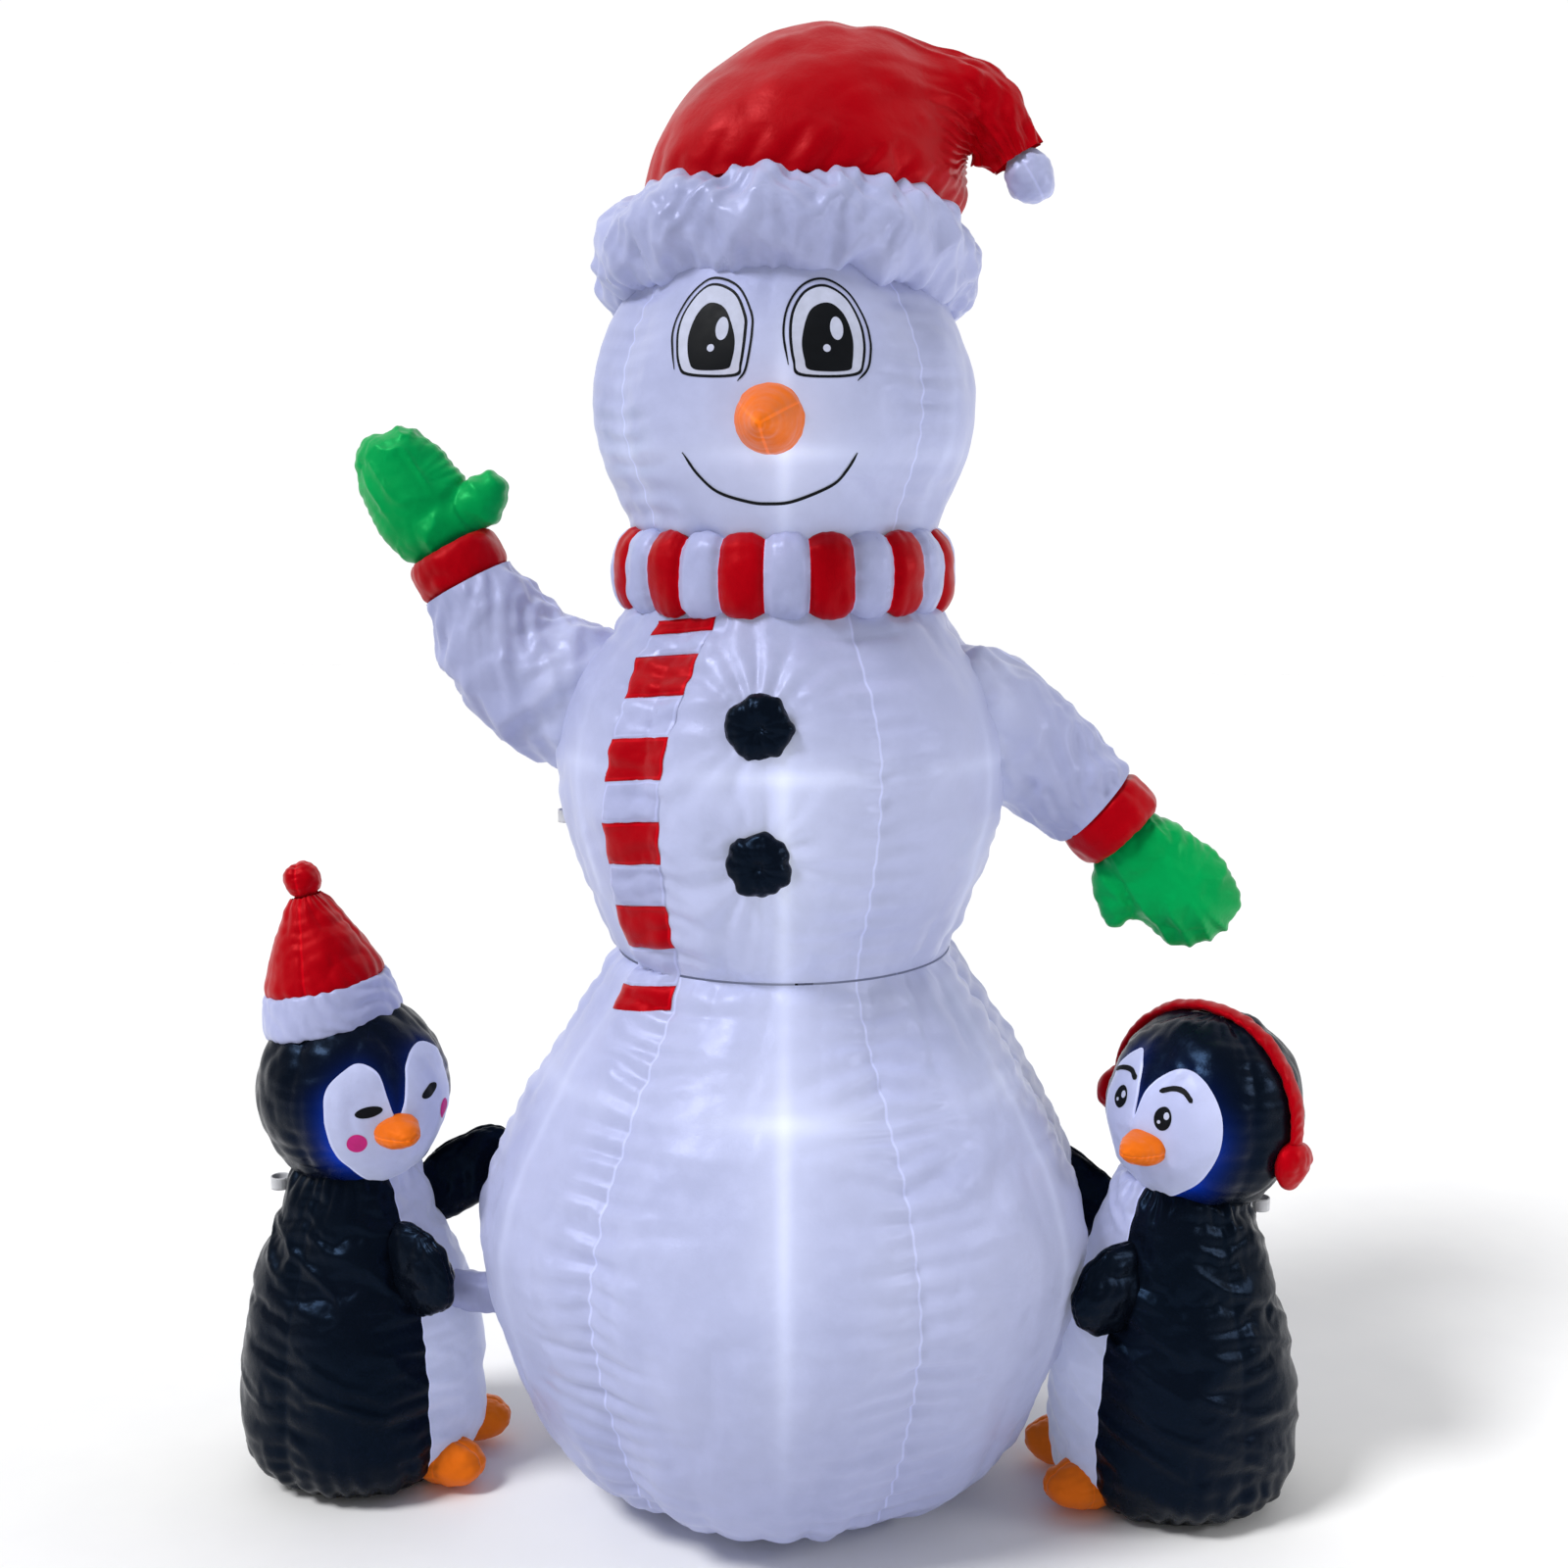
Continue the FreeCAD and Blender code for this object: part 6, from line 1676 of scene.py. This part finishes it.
def tether_loops():
    """Each loop is a strap bent into an upright ring, with its woven face outward."""
    turns = np.radians(np.linspace(-150, 150, 60))
    for i, island in enumerate(islands("tether_loops")):
        low, high = island.min(0), island.max(0)
        middle = (low[:2] + high[:2]) / 2
        base = np.zeros(2)
        for bird in PENGUINS.values():
            if abs(middle[0] - bird["x"]) < 0.3:
                base = np.array([bird["x"], bird["y"]])
        out = (middle - base) / np.linalg.norm(middle - base)
        side = np.array([-out[1], out[0]])
        centre = base + out * (((island[:, :2] - base) @ out).max() - LOOP_RADIUS)
        rise = np.linspace(low[2] + 0.0005, high[2] - 0.0005, 8)
        wall = [(LOOP_RADIUS, z) for z in rise] + [(LOOP_RADIUS - STRAP_THICKNESS, z) for z in rise[::-1]]
        columns = []
        for radius, z in wall:
            ring = centre + radius * (np.cos(turns)[:, None] * out + np.sin(turns)[:, None] * side)
            ring = ring + (0.0002 * np.sin(turns * 90))[:, None] * out
            columns.append(np.concatenate([ring, np.full((len(ring), 1), z)], 1))
        strap = build(f"tether_loop_{i}_strap", Grid(np.transpose(np.array(columns), (1, 0, 2))))
        place_piece(strap, "strap", ("tether_loops",))


LOOP_RADIUS, STRAP_THICKNESS = 0.017, 0.0024


def islands(name):
    """The vertex groups of a node's loose parts, in the row frame."""
    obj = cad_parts[name]
    mesh = bmesh.new()
    mesh.from_mesh(obj.data)
    bmesh.ops.remove_doubles(mesh, verts=mesh.verts, dist=1e-6)
    mesh.verts.ensure_lookup_table()
    seen, parts = set(), []
    for start in mesh.verts:
        if start.index in seen:
            continue
        stack, part = [start], []
        seen.add(start.index)
        while stack:
            vertex = stack.pop()
            part.append(obj.matrix_world @ vertex.co)
            for edge in vertex.link_edges:
                other = edge.other_vert(vertex)
                if other.index not in seen:
                    seen.add(other.index)
                    stack.append(other)
        parts.append(np.array([tuple(p) for p in part]))
    mesh.free()
    return parts


def zip_tapes():
    """Two woven tapes laid over the fabric beside the teeth."""
    for i, island in enumerate(islands("zip_tapes")):
        low, high = island.min(0), island.max(0)
        rise = np.linspace(low[2] + 0.001, high[2] - 0.001, 90)
        across = np.linspace(low[0] + 0.0003, high[0] - 0.0003, 8)
        outer_top = island[island[:, 2] > high[2] - 0.008][:, 1].max()
        outer_low = island[island[:, 2] < low[2] + 0.008][:, 1].max()
        points = np.empty((len(rise), len(across) * 2, 3))
        for a, z in enumerate(rise):
            share = (z - low[2]) / (high[2] - low[2])
            y = outer_low + (outer_top - outer_low) * share
            for b, x in enumerate(across):
                wave = 0.0004 * math.sin(z * 160)
                points[a, b] = (x, y - 0.0004 + wave * 0.5, z)
                points[a, -1 - b] = (x, y - 0.006, z)
        place_piece(build(f"zip_tape_{i}_skin", Grid(points)), "tape", ("zip_tapes",))


air_sleeve()
blower_collar()
drawstring()
tether_loops()
zip_tapes()

NODE_PAINT = {
    "blower_case": "case", "intake_grille": "case", "fan_impeller": "fan", "fan_shaft": "steel",
    "blower_motor": "steel", "motor_bracket": "case", "power_jack": "case", "string_stopper": "case",
    "stopper_plunger": "fan", "zip_teeth": "zip", "zip_slider": "zip", "zip_pull": "zip",
    "lamp_bases": "lamp", "lamp_lenses": "lens", "lamp_harness": "wire", "ballast_bag": "ballast",
}
for node_name, paint_name in NODE_PAINT.items():
    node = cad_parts[node_name]
    node.data.materials.clear()
    node.data.materials.append(PAINT[paint_name])


# ---------------------------------------------------------------- finish

studio()
